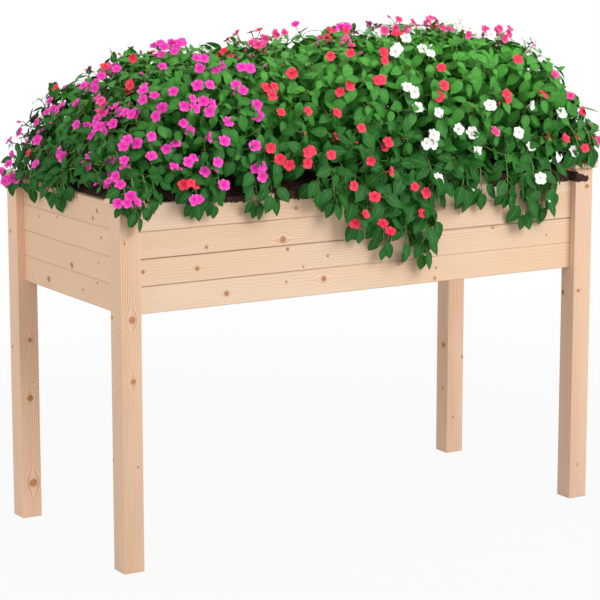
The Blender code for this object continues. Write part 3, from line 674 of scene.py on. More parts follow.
@cache
def grow():
    """Every limb and shoot, as curves of four points. A shoot's tip lies just under the mound's surface,
    its root on the nearest limb of the plant whose base is nearest, and its tip grows outwards and up."""
    shoots = settings("shoots")
    rng = np.random.default_rng(shoots.seed)
    tips, out, inner = spread_tips(rng, shoots)
    plant = np.linalg.norm(tips[:, None, :2] - BASES[None, :, :2], axis=-1).argmin(axis=1)
    limbs, ground = spread_limbs(shoots)
    hanging, hung_plant, hung_out = trailing(rng)

    start, first = from_limb(limbs, tips, plant)
    gap = np.linalg.norm(tips - start, axis=1, keepdims=True)
    rim = np.clip((tips[:, 2:] - RIM) / 0.12, 0, 1)
    tip_way = 0.8 * out + UP * (0.55 * rim - 0.10) + 0.35 * unit(tips - start)
    tip_way = unit(tip_way + rng.normal(0, 0.18, tips.shape))
    leaving = start + 0.3 * gap * first + 0.12 * gap * UP
    curves = np.stack([start, leaving, tips - 0.42 * gap * tip_way, tips], axis=1)

    hung_start = from_limb(limbs, hanging[:, 0], hung_plant)[0]
    hanging = np.concatenate([hung_start[:, None], hanging], axis=1)
    grown = SimpleNamespace(
        curves=np.concatenate([curves, hanging]),
        plant=np.concatenate([plant, hung_plant]),
        out=np.concatenate([out, hung_out]),
        hangs=np.repeat([0.0, 1.0], [len(curves), len(hanging)]),
        inner=np.concatenate([inner, np.zeros(len(hanging))]),
        limbs=limbs,
        ground=ground,
    )
    steps = np.diff(bezier(grown.curves, np.linspace(0, 1, 12)[:, None])[0], axis=1)
    grown.length = np.linalg.norm(steps, axis=2).sum(axis=1)
    return grown


def across_shoot(grown, ahead):
    """Two ways square to each shoot, the second of them towards the outside."""
    side = unit(np.cross(ahead, grown.out[:, None] + 0.01 * UP + 0.02))
    return side, np.cross(side, ahead)


# ---- leaves --------------------------------------------------------------------------------
@cache
def set_leaves():
    """Where each leaf stands. From the tip back, leaves follow one another at the golden angle, larger, on
    longer stalks and further from the shoot's line; each turns its face to the light and sinks a little."""
    grown, leaf = grow(), settings("leaves")
    rng = np.random.default_rng(settings("shoots").seed + 1)
    shape = shoots, count = len(grown.curves), leaf.count
    i = np.arange(count)
    hangs, inner, out = grown.hangs[:, None], grown.inner[:, None], grown.out[:, None]
    # how far back each leaf leaves the shoot: the steps lengthen away from the tip
    step = np.where(hangs > 0, 0.0034 + 0.0010 * i, 0.0020 + 0.0009 * i)
    back = np.cumsum(step, axis=1) * rng.uniform(0.85, 1.15, shape) + 0.002
    t = 1 - back / grown.length[:, None]
    spot, ahead = bezier(grown.curves, np.clip(t, 0, 1)[..., None])
    grown_up = np.clip(np.where(hangs > 0, (i + 2.2) / 3.2, (i + 0.8) / 3.2), 0, 1)
    side, lift = across_shoot(grown, ahead)
    turn = GOLDEN * i[None] + rng.uniform(0, 2 * math.pi, (shoots, 1)) + rng.normal(0, 0.25, shape)
    # on a hanging shoot the leaves part to left and right instead
    turn = np.where(hangs > 0, math.pi * i[None] + rng.normal(0, 0.55, shape), turn)
    radial = side * np.cos(turn)[..., None] + lift * np.sin(turn)[..., None]
    # a leaf lies close to the shoot's line by the tip, and stands square to it once it is grown
    lean = np.radians(22 + 72 * grown_up + rng.normal(0, 8, shape))
    hung_lean = np.radians(8 + 74 * np.clip(i / 4, 0, 1) + rng.normal(0, 9, shape))
    lean = np.where(hangs > 0, hung_lean, lean)[..., None]
    stalk_way = unit(ahead * np.cos(lean * 0.8) + radial * np.sin(lean * 0.8))
    upright = np.clip(out[..., 2:], 0, 1)
    sink = (0.15 + 0.50 * grown_up[..., None] * (1 - 0.10 * upright)) * rng.uniform(0.6, 1.4, (*shape, 1))
    axis = unit(ahead * np.cos(lean) + radial * np.sin(lean) - UP * sink)
    face = 0.45 * ahead * (1 - hangs[..., None]) + 0.85 * out + 0.34 * UP + rng.normal(0, 0.14, (*shape, 3))
    normal = unit(face - (face * axis).sum(axis=-1, keepdims=True) * axis)
    # leaves are larger low at the front and inside the mound
    x, y, z = np.moveaxis(spot, -1, 0)
    low_front = np.clip((0.90 - z) / 0.12, 0, 1) * (y < 0) * (x > -0.42)
    region = np.interp(x, *VIGOUR) * (1 + 0.10 * low_front)
    region = region * (1 + 0.22 * inner)
    length = leaf.length * (0.30 + 0.70 * grown_up) * region * rng.uniform(0.82, 1.14, shape)
    stalk = leaf.stalk * grown_up * rng.uniform(0.7, 1.3, shape)
    base = spot + stalk_way * stalk[..., None]
    # painted light: the higher a leaf stands, the paler it is; painted shade: inside the mound it is darker
    height = np.clip((z - 0.80) / 0.22, 0, 1)
    tone = TONE_LOW + TONE_GROWN_UP * grown_up + TONE_HANGING * hangs + TONE_HIGH_PAINTED_LIGHT * height
    tone = tone + TONE_INSIDE_PAINTED_SHADE * inner * (1 - height)
    tone = tone + np.interp(x, *TONE_ALONG)
    tone = tone + rng.normal(0, 0.08, shape)
    # left out are those past the shoot's root, the smallest, one in four inside the mound, and those of a
    # hanging shoot where it is back over the rim
    good = (t > 0.04) & (length > 0.008) & ((i % 4 > 0) | (inner < 1))
    good = good & ((hangs < 1) | (back < 0.060 + 0.8 * (RIM - grown.curves[:, 3, 2])[:, None]))

    def pick(values):
        return np.broadcast_to(values, (*shape, *values.shape[2:]))[good]

    laid = SimpleNamespace(
        plant=pick(grown.plant[:, None]), spot=pick(spot), base=pick(base), axis=pick(axis),
        normal=pick(normal), length=pick(length), tone=np.clip(pick(tone), 0.0, 1.0),
        droop=pick(leaf.droop * rng.uniform(0.5, 1.5, shape)),
        fold=pick(leaf.fold * rng.uniform(0.4, 1.5, shape)),
        hangs=pick(hangs),
    )
    laid.points = leaf_points(laid)
    in_window = over_window(laid.points, 0.0).any(axis=1)
    return chosen(laid, within_reach(laid.points) & (~in_window | (laid.hangs > 0)))


def leaf_places():
    """The two parameters of a leaf's corners: u from stalk to tip, v from edge to edge."""
    u = np.concatenate([[0.0], np.repeat(LEAF_ALONG, len(LEAF_ACROSS)), [1.0]])
    v = np.concatenate([[0.0], np.tile(LEAF_ACROSS, len(LEAF_ALONG)), [0.0]])
    return u, v


def leaf_faces():
    """Quads between the rows of a leaf's corners, and triangles that close its foot and its tip."""
    rows, columns = len(LEAF_ALONG), len(LEAF_ACROSS)
    index = 1 + np.arange(rows * columns).reshape(rows, columns)
    foot = np.stack([np.zeros(columns - 1, int), index[0, 1:], index[0, :-1]], axis=-1)
    tip = np.stack([np.full(columns - 1, rows * columns + 1), index[-1, :-1], index[-1, 1:]], axis=-1)
    return [quads(index), np.concatenate([foot, tip])]


def leaf_points(laid):
    """A blade bends down along an arc: at u it has turned by droop u. Its half width is an egg's,
    u^0.62 (1 - u^1.25)^1.15 scaled to the breadth. Across, it rises as fold |v| from the midrib, rolls back
    as v squared, and ripples slightly as sin 9u."""
    u, v = leaf_places()
    half = settings("leaves").breadth / 2 * u**0.62 * (1 - u**1.25) ** 1.15 / EGG_WIDEST
    length, droop, fold = laid.length[:, None], laid.droop[:, None], laid.fold[:, None]
    axis, normal = laid.axis[:, None], laid.normal[:, None]
    side = np.cross(normal, axis)
    turned = droop * u
    raised = normal * np.cos(turned)[..., None] + axis * np.sin(turned)[..., None]
    ahead = length * np.sin(turned) / droop
    down = length * (1 - np.cos(turned)) / droop
    across = length * half * v * (1 - 0.10 * fold)
    lift = length * half * (fold * np.abs(v) - 0.16 * v * v + 0.05 * np.sin(9 * u) * np.abs(v))
    points = laid.base[:, None] + axis * ahead[..., None] - normal * down[..., None]
    return clear_of_bed(points - side * across[..., None] + raised * lift[..., None])


# ---- flowers -------------------------------------------------------------------------------
def come_into_flower(grown, rng):
    """Which shoots are in flower, how many flowers each has, and its colour where IN_FLOWER gives one."""
    tips = grown.curves[:, 3]
    x, y, z = tips.T
    count = len(tips)
    placed = (grown.out[:, 1] < -0.25) & (x > -0.58) & (grown.inner < 1)  # where IN_FLOWER says it
    chance = settings("flowers").share * np.interp(x, *FLOWERING)
    # at the left end more are in flower, above all of those that hang
    chance = np.where((grown.out[:, 0] < -0.35) & (x < -0.46), 0.42, chance)
    chance = np.where(grown.hangs * (x < -0.5) > 0, 0.85, chance)
    chance = chance * (1 - grown.inner) * np.where(placed, 0.03, 1.0)
    chance = chance * np.where(z > TOPMOST, np.interp(x, *FLOWERING_TOP), 1.0)
    chance = np.where((x < -0.50) & (z < 0.85) & (y < 0.12), 0.36, chance)
    in_flower = rng.random(count) < chance
    many = rng.choice([1, 2, 3, 4], count, p=[0.34, 0.33, 0.22, 0.11])
    given = np.full(count, -1)
    for kind, clusters in enumerate(IN_FLOWER.values()):
        for at_x, at_z, flowers in clusters:
            off = np.hypot(x - at_x, z - at_z) + 10.0 * (~placed | (given >= 0))
            given[off.argmin()], many[off.argmin()] = kind, flowers
    return in_flower | (given >= 0), many, given


def flower_kinds(tips, given, rng):
    """Each shoot's colour, as a place in IN_FLOWER: the given one, or else one drawn by how often each is
    seen at that place along the bed, from front to back and up the mound."""
    x, y, z = tips.T
    # on the crest and behind it magenta and white are fewer, and pink is commoner
    high = np.clip((z - 0.93) / 0.08, 0, 1) + (y > 0.05)
    magenta = np.interp(x, *MAGENTA) * (1 - 0.48 * (high > 0.9) * (x > -0.50))
    magenta = magenta + 0.10 * (high > 0.6) * (x > -0.1)
    magenta = magenta * (1 - 0.25 * (x < -0.2) * (y > -0.12) * (y < 0.05))
    white = np.interp(x, *WHITE) * np.where(high > 0.6, 0.64, 1)
    pink = np.interp(x, *PINK) + 0.24 * (high > 0.6) * (x > -0.2)
    coral = np.clip(1 - magenta - white - pink, 0.03, 1)
    chances = np.cumsum(np.stack([magenta, coral, white, pink], axis=1), axis=1)
    drawn = (rng.random(len(tips))[:, None] * chances[:, -1:] > chances[:, :-1]).sum(axis=1)
    return np.where(given >= 0, given, drawn)


@cache
def set_flowers():
    """Where each flower and each bud stands: one to four flowers on a shoot that is in flower, on stalks
    that leave it near its tip and lean outwards, each facing out and up."""
    grown, flower = grow(), settings("flowers")
    rng = np.random.default_rng(settings("shoots").seed + 2)
    tips = grown.curves[:, 3]
    in_flower, many, given = come_into_flower(grown, rng)
    shape = shoots, slots = len(tips), 5
    each = np.arange(slots)
    wanted = in_flower[:, None] & (each[None] < many[:, None])
    last = each[None] == np.where(in_flower, many, 0)[:, None]
    budding = last & (rng.random((shoots, 1)) < 0.16) & (grown.inner[:, None] < 1)
    back = rng.uniform(0.004, 0.024, shape)
    t = np.clip(1 - back / grown.length[:, None], 0.3, 1)
    spot, ahead = bezier(grown.curves, t[..., None])
    out = np.broadcast_to(grown.out[:, None], spot.shape)
    side, lift = across_shoot(grown, ahead)
    turn = rng.uniform(0, 2 * math.pi, (shoots, 1)) + each[None] * 1.9 + rng.normal(0, 0.2, shape)
    radial = side * np.cos(turn)[..., None] + lift * np.sin(turn)[..., None]
    # the way out from the bed's middle, level with the ground: flowers at the top turn towards it
    turned = ACROSS * (0.22 + 0.12 * np.clip((tips[:, 2:] - 0.95) / 0.04, 0, 1))
    level_out = (tips - turned) * (1 / 0.60, 1 / 0.31, 0) + out[:, 0] * LEVEL
    level_out = unit(level_out + rng.normal(0, 0.45, tips.shape) * LEVEL)[:, None]
    apart = 0.62 * radial * (many[:, None, None] > 1)
    way = unit(0.62 * out + 0.25 * ahead + apart + 0.25 * level_out + 0.15 * UP)
    stalk = flower.stalk * rng.uniform(0.75, 1.25, shape)
    centre = spot + way * stalk[..., None]
    # the topmost look over the front
    forward = ACROSS * -0.45 * (tips[:, None, 2:] > 0.965)
    facing = 0.45 * out + 0.70 * level_out + 0.22 * radial + 0.36 * UP + forward
    facing = unit(facing + rng.normal(0, 0.26, spot.shape))
    facing = unit(np.maximum(facing, (-1, -1, -0.10)))
    kinds = np.broadcast_to(flower_kinds(tips, given, rng)[:, None], shape)
    level = unit(np.cross(np.broadcast_to(UP, facing.shape) + 0.01, facing))
    roll = rng.normal(0, 0.35, (*shape, 1))
    right = level * np.cos(roll) + np.cross(facing, level) * np.sin(roll)
    plants = np.broadcast_to(grown.plant[:, None], shape)
    radius = flower.width / 2 * rng.uniform(0.84, 1.10, shape) * KIND_WIDTHS[kinds]
    radius = radius * (np.interp(tips[:, 0], *FLOWER_SIZES) - 0.10 * (tips[:, 2] > TOPMOST))[:, None]
    cup, tone = rng.uniform(-0.06, 0.26, shape), rng.random(shape)
    stalks = {"plant": plants, "kind": kinds, "spot": spot, "ahead": ahead}
    heads = {"centre": centre, "facing": facing, "right": right, "radius": radius, "cup": cup, "tone": tone}
    flowers = chosen(SimpleNamespace(**stalks, **heads), wanted)
    flowers.points = petal_points(flowers)
    closed = {"centre": spot + way * stalk[..., None] * 0.8, "facing": unit(way - 0.5 * UP)}
    buds = chosen(SimpleNamespace(**stalks, **closed), budding)
    return chosen(flowers, within_reach(flowers.points)), chosen(buds, within_reach(buds.centre[:, None]))


def petal_places():
    """The parameters of a flower's corners: t from its centre to a petal's tip, s from edge to edge, and
    which petal it is."""
    t = np.repeat(PETAL_ALONG, len(PETAL_ACROSS))
    s = np.tile(PETAL_ACROSS, len(PETAL_ALONG))
    return np.tile(t, PETALS), np.tile(s, PETALS), np.repeat(np.arange(PETALS), len(t))


def petal_points(made):
    """Five petals round a centre. A petal is t long and s wide: it reaches R t (1 - 0.26 s^2 t - notch)
    ahead, with a shallow notch at its tip, and 0.51 R s sin(0.12 + 0.69 pi t^0.85) aside. It rises as cup
    t squared, with a slight twist and ripple."""
    t, s, petal = petal_places()
    turn = math.pi / 2 + 2 * math.pi * petal / PETALS
    length = PETAL_SIZES[petal]
    ahead = length * t * (1 - 0.26 * s**2 * t - 0.09 * np.clip(1 - 2 * np.abs(s), 0, 1) * t**2)
    aside = length * 0.51 * s * np.sin(0.12 + 0.69 * math.pi * t**0.85)
    radius, cup = made.radius[:, None], made.cup[:, None]
    rise = radius * (cup * t * t + 0.10 * s * t + 0.05 * np.sin(5 * s + petal + 7 * made.tone[:, None]) * t)
    flat_x = radius * (ahead * np.cos(turn) - aside * np.sin(turn))
    flat_y = radius * (ahead * np.sin(turn) + aside * np.cos(turn))
    right, above = made.right[:, None], np.cross(made.facing, made.right)[:, None]
    points = made.centre[:, None] + right * flat_x[..., None] + above * flat_y[..., None]
    return clear_of_bed(points + made.facing[:, None] * rise[..., None], 0.003)


def petal_faces():
    """Quads between the rows of corners of each petal."""
    index = np.arange(len(PETAL_ALONG) * len(PETAL_ACROSS)).reshape(len(PETAL_ALONG), len(PETAL_ACROSS))
    return repeated(PETALS, index.size, [quads(index)[:, OTHER_WAY]])


# ---- finishes --------------------------------------------------------------------------------
def tinted(base, tint):
    """A colour with each of its channels scaled by its own share."""
    return tuple(c * t for c, t in zip(base, tint))


def dimmed(base, much):
    """A colour scaled to that share of itself."""
    return tuple(c * much for c in base)


def by_name(table, name, otherwise):
    """What a table says of the first start that fits the name."""
    return next((value for start, value in table if name.startswith(start)), otherwise)


class Wiring:
    """Nodes as they are wired up. A socket's value may be a number, a colour or another node's output."""

    def __init__(self, tree):
        self.tree = tree

    def give(self, socket, value):
        if isinstance(value, bpy.types.NodeSocket):
            self.tree.links.new(value, socket)
        elif hasattr(value, "__len__") and socket.type == "RGBA":
            socket.default_value = (*value, 1.0)[:4]
        else:
            socket.default_value = value

    def add(self, kind, sockets, output=0, **choices):
        node = self.tree.nodes.new(f"ShaderNode{kind}")
        for key, value in choices.items():
            setattr(node, key, value)
        for key, value in sockets.items():
            self.give(node.inputs[key], value)
        return node.outputs[output]

    def math(self, how, a, b=0.0):
        return self.add("Math", {0: a, 1: b}, operation=how)

    def plus(self, a, b):
        return self.math("ADD", a, b)

    def less(self, a, b):
        return self.math("SUBTRACT", a, b)

    def times(self, a, b):
        return self.math("MULTIPLY", a, b)

    def over(self, a, b):
        return self.math("DIVIDE", a, b)

    def vector(self, how, a, b=(0, 0, 0), output=0):
        return self.add("VectorMath", {0: a, 1: b}, output, operation=how)

    def mix(self, share, a, b):
        return self.add("Mix", {0: share, 6: a, 7: b}, 2, data_type="RGBA")

    def band(self, value, low, high, to_low=0.0, to_high=1.0):
        """A smooth step from to_low to to_high while the value goes from low to high."""
        sockets = {"Value": value, "From Min": low, "From Max": high, "To Min": to_low, "To Max": to_high}
        return self.add("MapRange", sockets, interpolation_type="SMOOTHSTEP")

    def noise(self, place, scale, detail=2.0, output="Fac"):
        return self.add("TexNoise", {"Vector": place, "Scale": scale, "Detail": detail}, output)

    def drawn_noise(self, place, scales, detail=2.0, output="Fac"):
        """Noise that is drawn out: it has its own scale along each axis."""
        return self.noise(self.vector("MULTIPLY", place, scales), 1.0, detail, output)

    def object_place(self):
        return self.add("TexCoord", {}, "Object")

    def parts(self, vector):
        return list(self.add("SeparateXYZ", {0: vector}).node.outputs)

    def own_map(self):
        """The two parameters of a leaf or a petal."""
        return self.parts(self.add("UVMap", {}, uv_map="Along"))[:2]

    def tone(self):
        return self.add("Attribute", {}, "Fac", attribute_name="tone")


class Finish(Wiring):
    """A material, wired up round its Principled shader."""

    def __init__(self, name, roughness, specular=0.5):
        self.material = bpy.data.materials.new(name)
        self.material.use_nodes = True
        super().__init__(self.material.node_tree)
        self.shader = self.tree.nodes["Principled BSDF"]
        self.shader.inputs["Specular IOR Level"].default_value = specular
        self.give(self.shader.inputs["Roughness"], roughness)

    def done(self, base, height=None, depth=0.001, strength=0.5):
        self.give(self.shader.inputs["Base Color"], base)
        if height is not None:
            bump = self.add("Bump", {"Height": height, "Distance": depth, "Strength": strength})
            self.give(self.shader.inputs["Normal"], bump)
        return self.material


def bent_to_knots(f, knots, along, across, deep, leg, rng):
    """The distances across the grain, drawn in towards each knot by 0.85 / (1 + (0.065 d^2)^2), where d is
    the distance from its middle in 0.8 of its radius. Also, for each knot, one of its two axes and d."""
    seen = []
    bent, sunk = across, deep
    for where, level, radius in knots:
        from_side = leg and abs(level) < 0.4  # no leg's front is that near the middle
        u = f.less(along, where)
        v = f.less(deep if from_side else across, level)
        wide, tall = f.over(u, 0.80 * radius), f.over(v, 0.80 * radius)
        square = f.plus(f.times(wide, wide), f.times(tall, tall))
        far = f.times(square, 0.065)
        pull = f.times(v, f.over(0.85, f.plus(1.0, f.times(far, far))))
        if from_side:
            sunk = f.less(sunk, pull)
        else:
            bent = f.less(bent, pull)
        seen.append((wide if rng.random() < 0.5 else tall, f.math("SQRT", square)))
    return bent, sunk, seen


def from_pith(f, place, shifted, along, middle, straight, rng):
    """The distance from the pith, a line that lies to one side of the board and runs with it, but for a
    tilt and a slow sway. Both are shares of what straight is: less is straighter."""
    angle = rng.uniform(-0.75, 0.75) * straight
    pith = rng.uniform(0.045, 0.110) * rng.choice([-1, 1])
    tilt = rng.normal(0, 0.012, 2) * straight
    sway = f.vector("SUBTRACT", f.drawn_noise(shifted, (2.2, 9.0, 9.0), 1.0, "Color"), (0.5, 0.5, 0.5))
    sway = f.vector("MULTIPLY", sway, (0.0, 0.016 * straight, 0.016 * straight))
    lengthwise = f.add("CombineXYZ", {0: along, 1: along, 2: along})
    skew = f.vector("MULTIPLY", lengthwise, (0.0, float(tilt[0]), float(tilt[1])))
    offset = (0.0, float(-middle[1] + pith * math.cos(angle)), float(-middle[2] + pith * math.sin(angle)))
    spot = f.vector("ADD", f.vector("ADD", f.vector("ADD", place, sway), skew), offset)
    return f.vector("LENGTH", f.vector("MULTIPLY", spot, (0.0, 1.0, 1.0)), output="Value")


def mark_knots(f, base, seen, rng):
    """Each knot: ruddier wood round it, a heart with rings of its own, and a crescent of bark that is
    heavier on one side."""
    timber = settings("timber")
    for u, d in seen:
        dark = float(rng.uniform(0.35, 0.95))
        ringed = f.band(f.math("SINE", f.times(d, 14.0)), -0.6, 0.9, 0.0, 0.40)
        base = f.mix(f.band(d, 2.8, 0.9, 0.0, 0.34), base, timber.ring)
        heart = f.mix(ringed, timber.knot, timber.bark)
        base = f.mix(f.band(d, 1.25, 0.75, 0.0, 0.72 + 0.28 * dark), base, heart)
        rim = f.times(f.band(d, 0.55, 0.95), f.band(d, 1.30, 1.0))
        base = f.mix(f.times(rim, f.band(u, -1.0, 1.0, 0.15 * dark, 0.85 * dark)), base, timber.bark)
    return base


def paint_joint_shade(f, base, name, along, across, cloud):
    """Painted shade: a dark line along each edge of a board that the table of joint shades gives one, where
    the joint's groove lies, uneven along its length.
    """
    lower, upper = by_name(JOINT_SHADES, name, ((0.0, 0.0), (0.0, 0.0)))
    foot = float(span(name)[0][2])
    for level, way, (left, right) in ((foot, 1, lower), (foot + BOARD_FACE, -1, upper)):
        if left:
            line = f.band(across, level + 0.0019 * way, level + 0.0011 * way)
            line = f.times(line, f.band(along, -0.50, 0.30, left, right))
            line = f.times(line, f.band(cloud, 0.25, 0.70, 0.75, 1.0))
            # the knot's bark colour, laid along the joint as painted shade
            base = f.mix(line, base, settings("timber").bark)
    return base


def pine(name, number, sawn=False):
    """One length of pine. Growth rings are shells round its pith, one every ring spacing, whose summer edge
    is darker; they bend round each knot. Fine streaks run with the grain."""
    timber = settings("timber")
    rng = np.random.default_rng(number + 100)
    f = Finish(name, 0.62 if sawn else 0.52, 0.30)
    order = {"x": (0, 2, 1), "y": (1, 2, 0), "z": (2, 0, 1)}[by_name(GRAINS, name, "x")]
    axes = f.parts(f.object_place())
    along, across, deep = (axes[k] for k in order)
    leg, striped = name.startswith("leg_"), name == STRIPED
    bent, sunk, seen = bent_to_knots(f, KNOTS.get(name, ()), along, across, deep, leg, rng)
    place = f.add("CombineXYZ", {0: along, 1: bent, 2: sunk})
    shifted = f.vector("ADD", place, tuple(rng.uniform(-3, 3, 3)))
    middle = np.mean(span(name), axis=0)[list(order)]

    shell = from_pith(f, place, shifted, along, middle, 0.35 if leg else 1.0, rng)
    spacing = timber.spacing * rng.uniform(0.75, 1.35) * (0.72 if leg or striped else 1.0)
    phase = f.math("FRACT", f.over(shell, spacing))
    strength = max(rng.uniform(0.35, 1.0), 0.90 * striped, 1.15 * leg)
    patch = f.band(f.drawn_noise(shifted, (3.0, 22.0, 22.0)), 0.30, 0.72, 0.20 * strength, 0.85 * strength)
    summer = f.times(f.times(f.band(phase, 0.30, 0.86), f.band(phase, 1.0, 0.90)), patch)
    if leg:  # the two faces that the rings run along are plainer
        edge = f.math("ABSOLUTE", f.less(across, float(middle[1])))
        summer = f.times(summer, f.band(edge, 0.0190, 0.0220, 1.0, 0.30))
    streak = f.drawn_noise(shifted, (9.0, 900.0, 900.0))
    cloud = f.drawn_noise(shifted, (1.6, 7.0, 7.0))

    shade = 1.0 + rng.normal(0, 0.018)
    # the tint of the front legs is partly painted shade, and that of the back legs partly painted light
    tint = by_name(WOOD_TINTS_AND_PAINTED_LIGHT, name, (1.0, 0.93, 0.92))
    pale = tuple(min(1.0, c * shade * t) for c, t in zip(timber.pale, tint))
    base = f.mix(f.band(cloud, 0.30, 0.75), pale, tinted(timber.pale, (0.97, 0.88, 0.80)))
    base = f.mix(summer, base, tinted(timber.ring, (0.96, 0.90, 0.90)) if leg else timber.ring)
    base = f.mix(f.band(streak, 0.35, 0.75, 0.0, 0.22 if sawn else 0.13), base, timber.ring)
    base = mark_knots(f, base, seen, rng)
    # painted shade along the joints between boards
    base = paint_joint_shade(f, base, name, along, across, cloud)
    height = f.plus(f.times(summer, 0.35), f.times(streak, 0.5))
    if sawn:
        kerf = f.drawn_noise(shifted, (420.0, 20.0, 20.0), 1.0)
        base = f.mix(f.band(kerf, 0.4, 0.7, 0.0, 0.20), base, timber.ring)
        height = f.plus(height, kerf)
    f.give(f.shader.inputs["Roughness"], f.band(summer, 0.0, 1.0, 0.66 if sawn else 0.56, 0.46))
    return f.done(base, height, 0.0006 if sawn else 0.00025, 0.6)


def liner_fabric():
    """Needled fabric: a felt of short fibres lying all ways, with a faint grid of bonding points."""
    f = Finish("liner_fabric", 0.92, 0.2)
    place = f.object_place()
    felt = f.noise(place, 900.0, 4.0)
    fibres = f.drawn_noise(place, (2400.0, 500.0, 500.0))
    grid = f.times(*(f.math("SINE", f.times(side, 1200.0)) for side in f.parts(place)[:2]))
    base = f.mix(f.band(felt, 0.35, 0.7), linear(0.11, 0.11, 0.12), linear(0.24, 0.24, 0.25))
    base = f.mix(f.band(fibres, 0.55, 0.8, 0.0, 0.4), base, linear(0.33, 0.33, 0.34))
    return f.done(base, f.plus(felt, f.band(grid, 0.3, 0.8, 0.0, 0.8)), 0.0006, 0.7)


def crumbly(name):
    """Moist compost: crumbs in three sizes, dark in the hollows, with pale flecks of bark fibre."""
    soil = settings("soil")
    f = Finish(name, 0.93, 0.25)
    place = f.object_place()
    coarse, middle, fine = (f.noise(place, scale, 5.0) for scale in (95.0, 330.0, 1300.0))
    cells = f.add("TexVoronoi", {"Vector": place, "Scale": 260.0}, "Distance")
    lumps = f.plus(f.times(coarse, 0.6), f.less(f.times(middle, 0.5), f.times(cells, 0.55)))
    base = f.mix(f.band(lumps, 0.10, 0.62), soil.dark, soil.light)
    flecks = f.drawn_noise(place, (260.0, 900.0, 900.0))
    base = f.mix(f.band(flecks, 0.68, 0.76, 0.0, 0.7), base, linear(0.45, 0.33, 0.24))
    base = f.mix(f.band(fine, 0.3, 0.7, 0.0, 0.45), base, soil.dark)
    return f.done(base, f.plus(lumps, f.times(fine, 0.3)), 0.006, 0.9)


def leaf_finish():
    """A leaf's upper side: green by its tone, which holds its age and the painted light and shade of its
    place on the mound; a paler midrib and side veins that sweep forward from it, the blade quilted between
    them. The veins follow the leaf's own map: u to the tip, v across."""
    leaf = settings("leaves")
    f = Finish("leaf", 0.46, 0.30)
    u, v = f.own_map()
    off = f.math("ABSOLUTE", f.less(f.times(v, 2.0), 1.0))
    wave = f.math("COSINE", f.times(f.less(u, f.times(off, 0.22)), 2 * math.pi * 7.5))
    side_vein = f.times(f.band(wave, 0.80, 0.98), f.band(off, 0.92, 0.55))
    midrib = f.band(off, 0.11, 0.03)
    blotch = f.noise(f.object_place(), 140.0)
    # the tone holds the painted light high on the mound and the painted shade inside it
    base = f.mix(f.tone(), leaf.deep, leaf.fresh)
    base = f.mix(f.band(blotch, 0.3, 0.75, 0.0, 0.30), base, dimmed(leaf.deep, 0.62))
    base = f.mix(f.band(off, 0.55, 1.0, 0.0, 0.25), base, dimmed(leaf.deep, 0.8))
    base = f.mix(f.times(side_vein, 0.14), base, leaf.vein)
    base = f.mix(f.times(midrib, 0.42), base, leaf.vein)
    f.give(f.shader.inputs["Roughness"], f.band(blotch, 0.2, 0.8, 0.40, 0.56))
    quilt = f.less(f.times(f.less(1.0, wave), 0.35), f.plus(midrib, side_vein))
    return f.done(base, quilt, 0.0007, 0.7)


def petal_finish(kind, tint, eye, lift):
    """A petal: its tint, paler towards the rim, fine veins that fan out from a darker eye. The veins
    follow the petal's own map: u from the eye to the rim, v across."""
    f = Finish(f"petal_{kind}", 0.50, 0.30)
    f.shader.inputs["Sheen Weight"].default_value = 0.12
    f.shader.inputs["Sheen Roughness"].default_value = 0.4
    u, v = f.own_map()
    veins = f.math("SINE", f.times(v, 44.0))
    base = f.mix(f.band(u, 0.35, 1.0), tint, tuple(c + (1 - c) * lift for c in tint))
    base = f.mix(f.times(f.band(veins, 0.2, 1.0), 0.08), base, dimmed(tint, 0.72))
    base = f.mix(f.times(f.tone(), 0.06), base, dimmed(tint, 0.80))
    base = f.mix(f.band(u, 0.26, 0.10, 0.0, 0.9), base, eye)
    return f.done(base, veins, 0.0002, 0.5)


def stem_finish():
    """A fleshy stem, browner towards its root, with paler streaks along it and darker reddish-brown
    patches.
    """
    shoots = settings("shoots")
    f = Finish("stem", 0.45, 0.4)
    place = f.object_place()
    streaks = f.drawn_noise(place, (300.0, 300.0, 60.0), 3.0)
    base = f.mix(f.band(f.tone(), 0.0, 0.8), shoots.old, shoots.young)
    base = f.mix(f.band(streaks, 0.45, 0.8, 0.0, 0.45), base, linear(0.62, 0.70, 0.45))
    base = f.mix(f.band(f.noise(place, 60.0, 1.0), 0.62, 0.75, 0.0, 0.4), base, linear(0.45, 0.28, 0.22))
    return f.done(base, streaks, 0.0005, 0.5)


# ---- operators -------------------------------------------------------------------------------
class RAISEDBED_OT_timber(bpy.types.Operator):
    """Gives every leg, cap and board its own piece of planed pine"""

    bl_idname = "raised_bed.timber"
    bl_label = "Planed Timber"

    def execute(self, context):
        planed = [n for n in NODES if n.startswith(("leg_", "cap_", "board_"))]
        for k, name in enumerate(planed):
            dress(name, pine(name, k))
        return {"FINISHED"}


class RAISEDBED_OT_floor(bpy.types.Operator):
    """Gives the ledgers and floor slats their sawn pine"""

    bl_idname = "raised_bed.floor"
    bl_label = "Sawn Floor"

    def execute(self, context):
        for k, name in enumerate(n for n in NODES if n.startswith(("ledger_", "slat_"))):
            dress(name, pine(name, k + 60, sawn=True))
        return {"FINISHED"}


class RAISEDBED_OT_liner(bpy.types.Operator):
    """Gives the liner its needled fabric"""

    bl_idname = "raised_bed.liner"
    bl_label = "Liner"

    def execute(self, context):
        dress("liner", liner_fabric())
        return {"FINISHED"}


class RAISEDBED_OT_compost(bpy.types.Operator):
    """Gives the compost its finish and scatters crumbs over it and on the rim"""

    bl_idname = "raised_bed.compost"
    bl_label = "Compost"

    def execute(self, context):
        finish = crumbly("compost")
        dress("compost", finish)
        add_crumbs(finish)
        add_crust(finish)
        return {"FINISHED"}


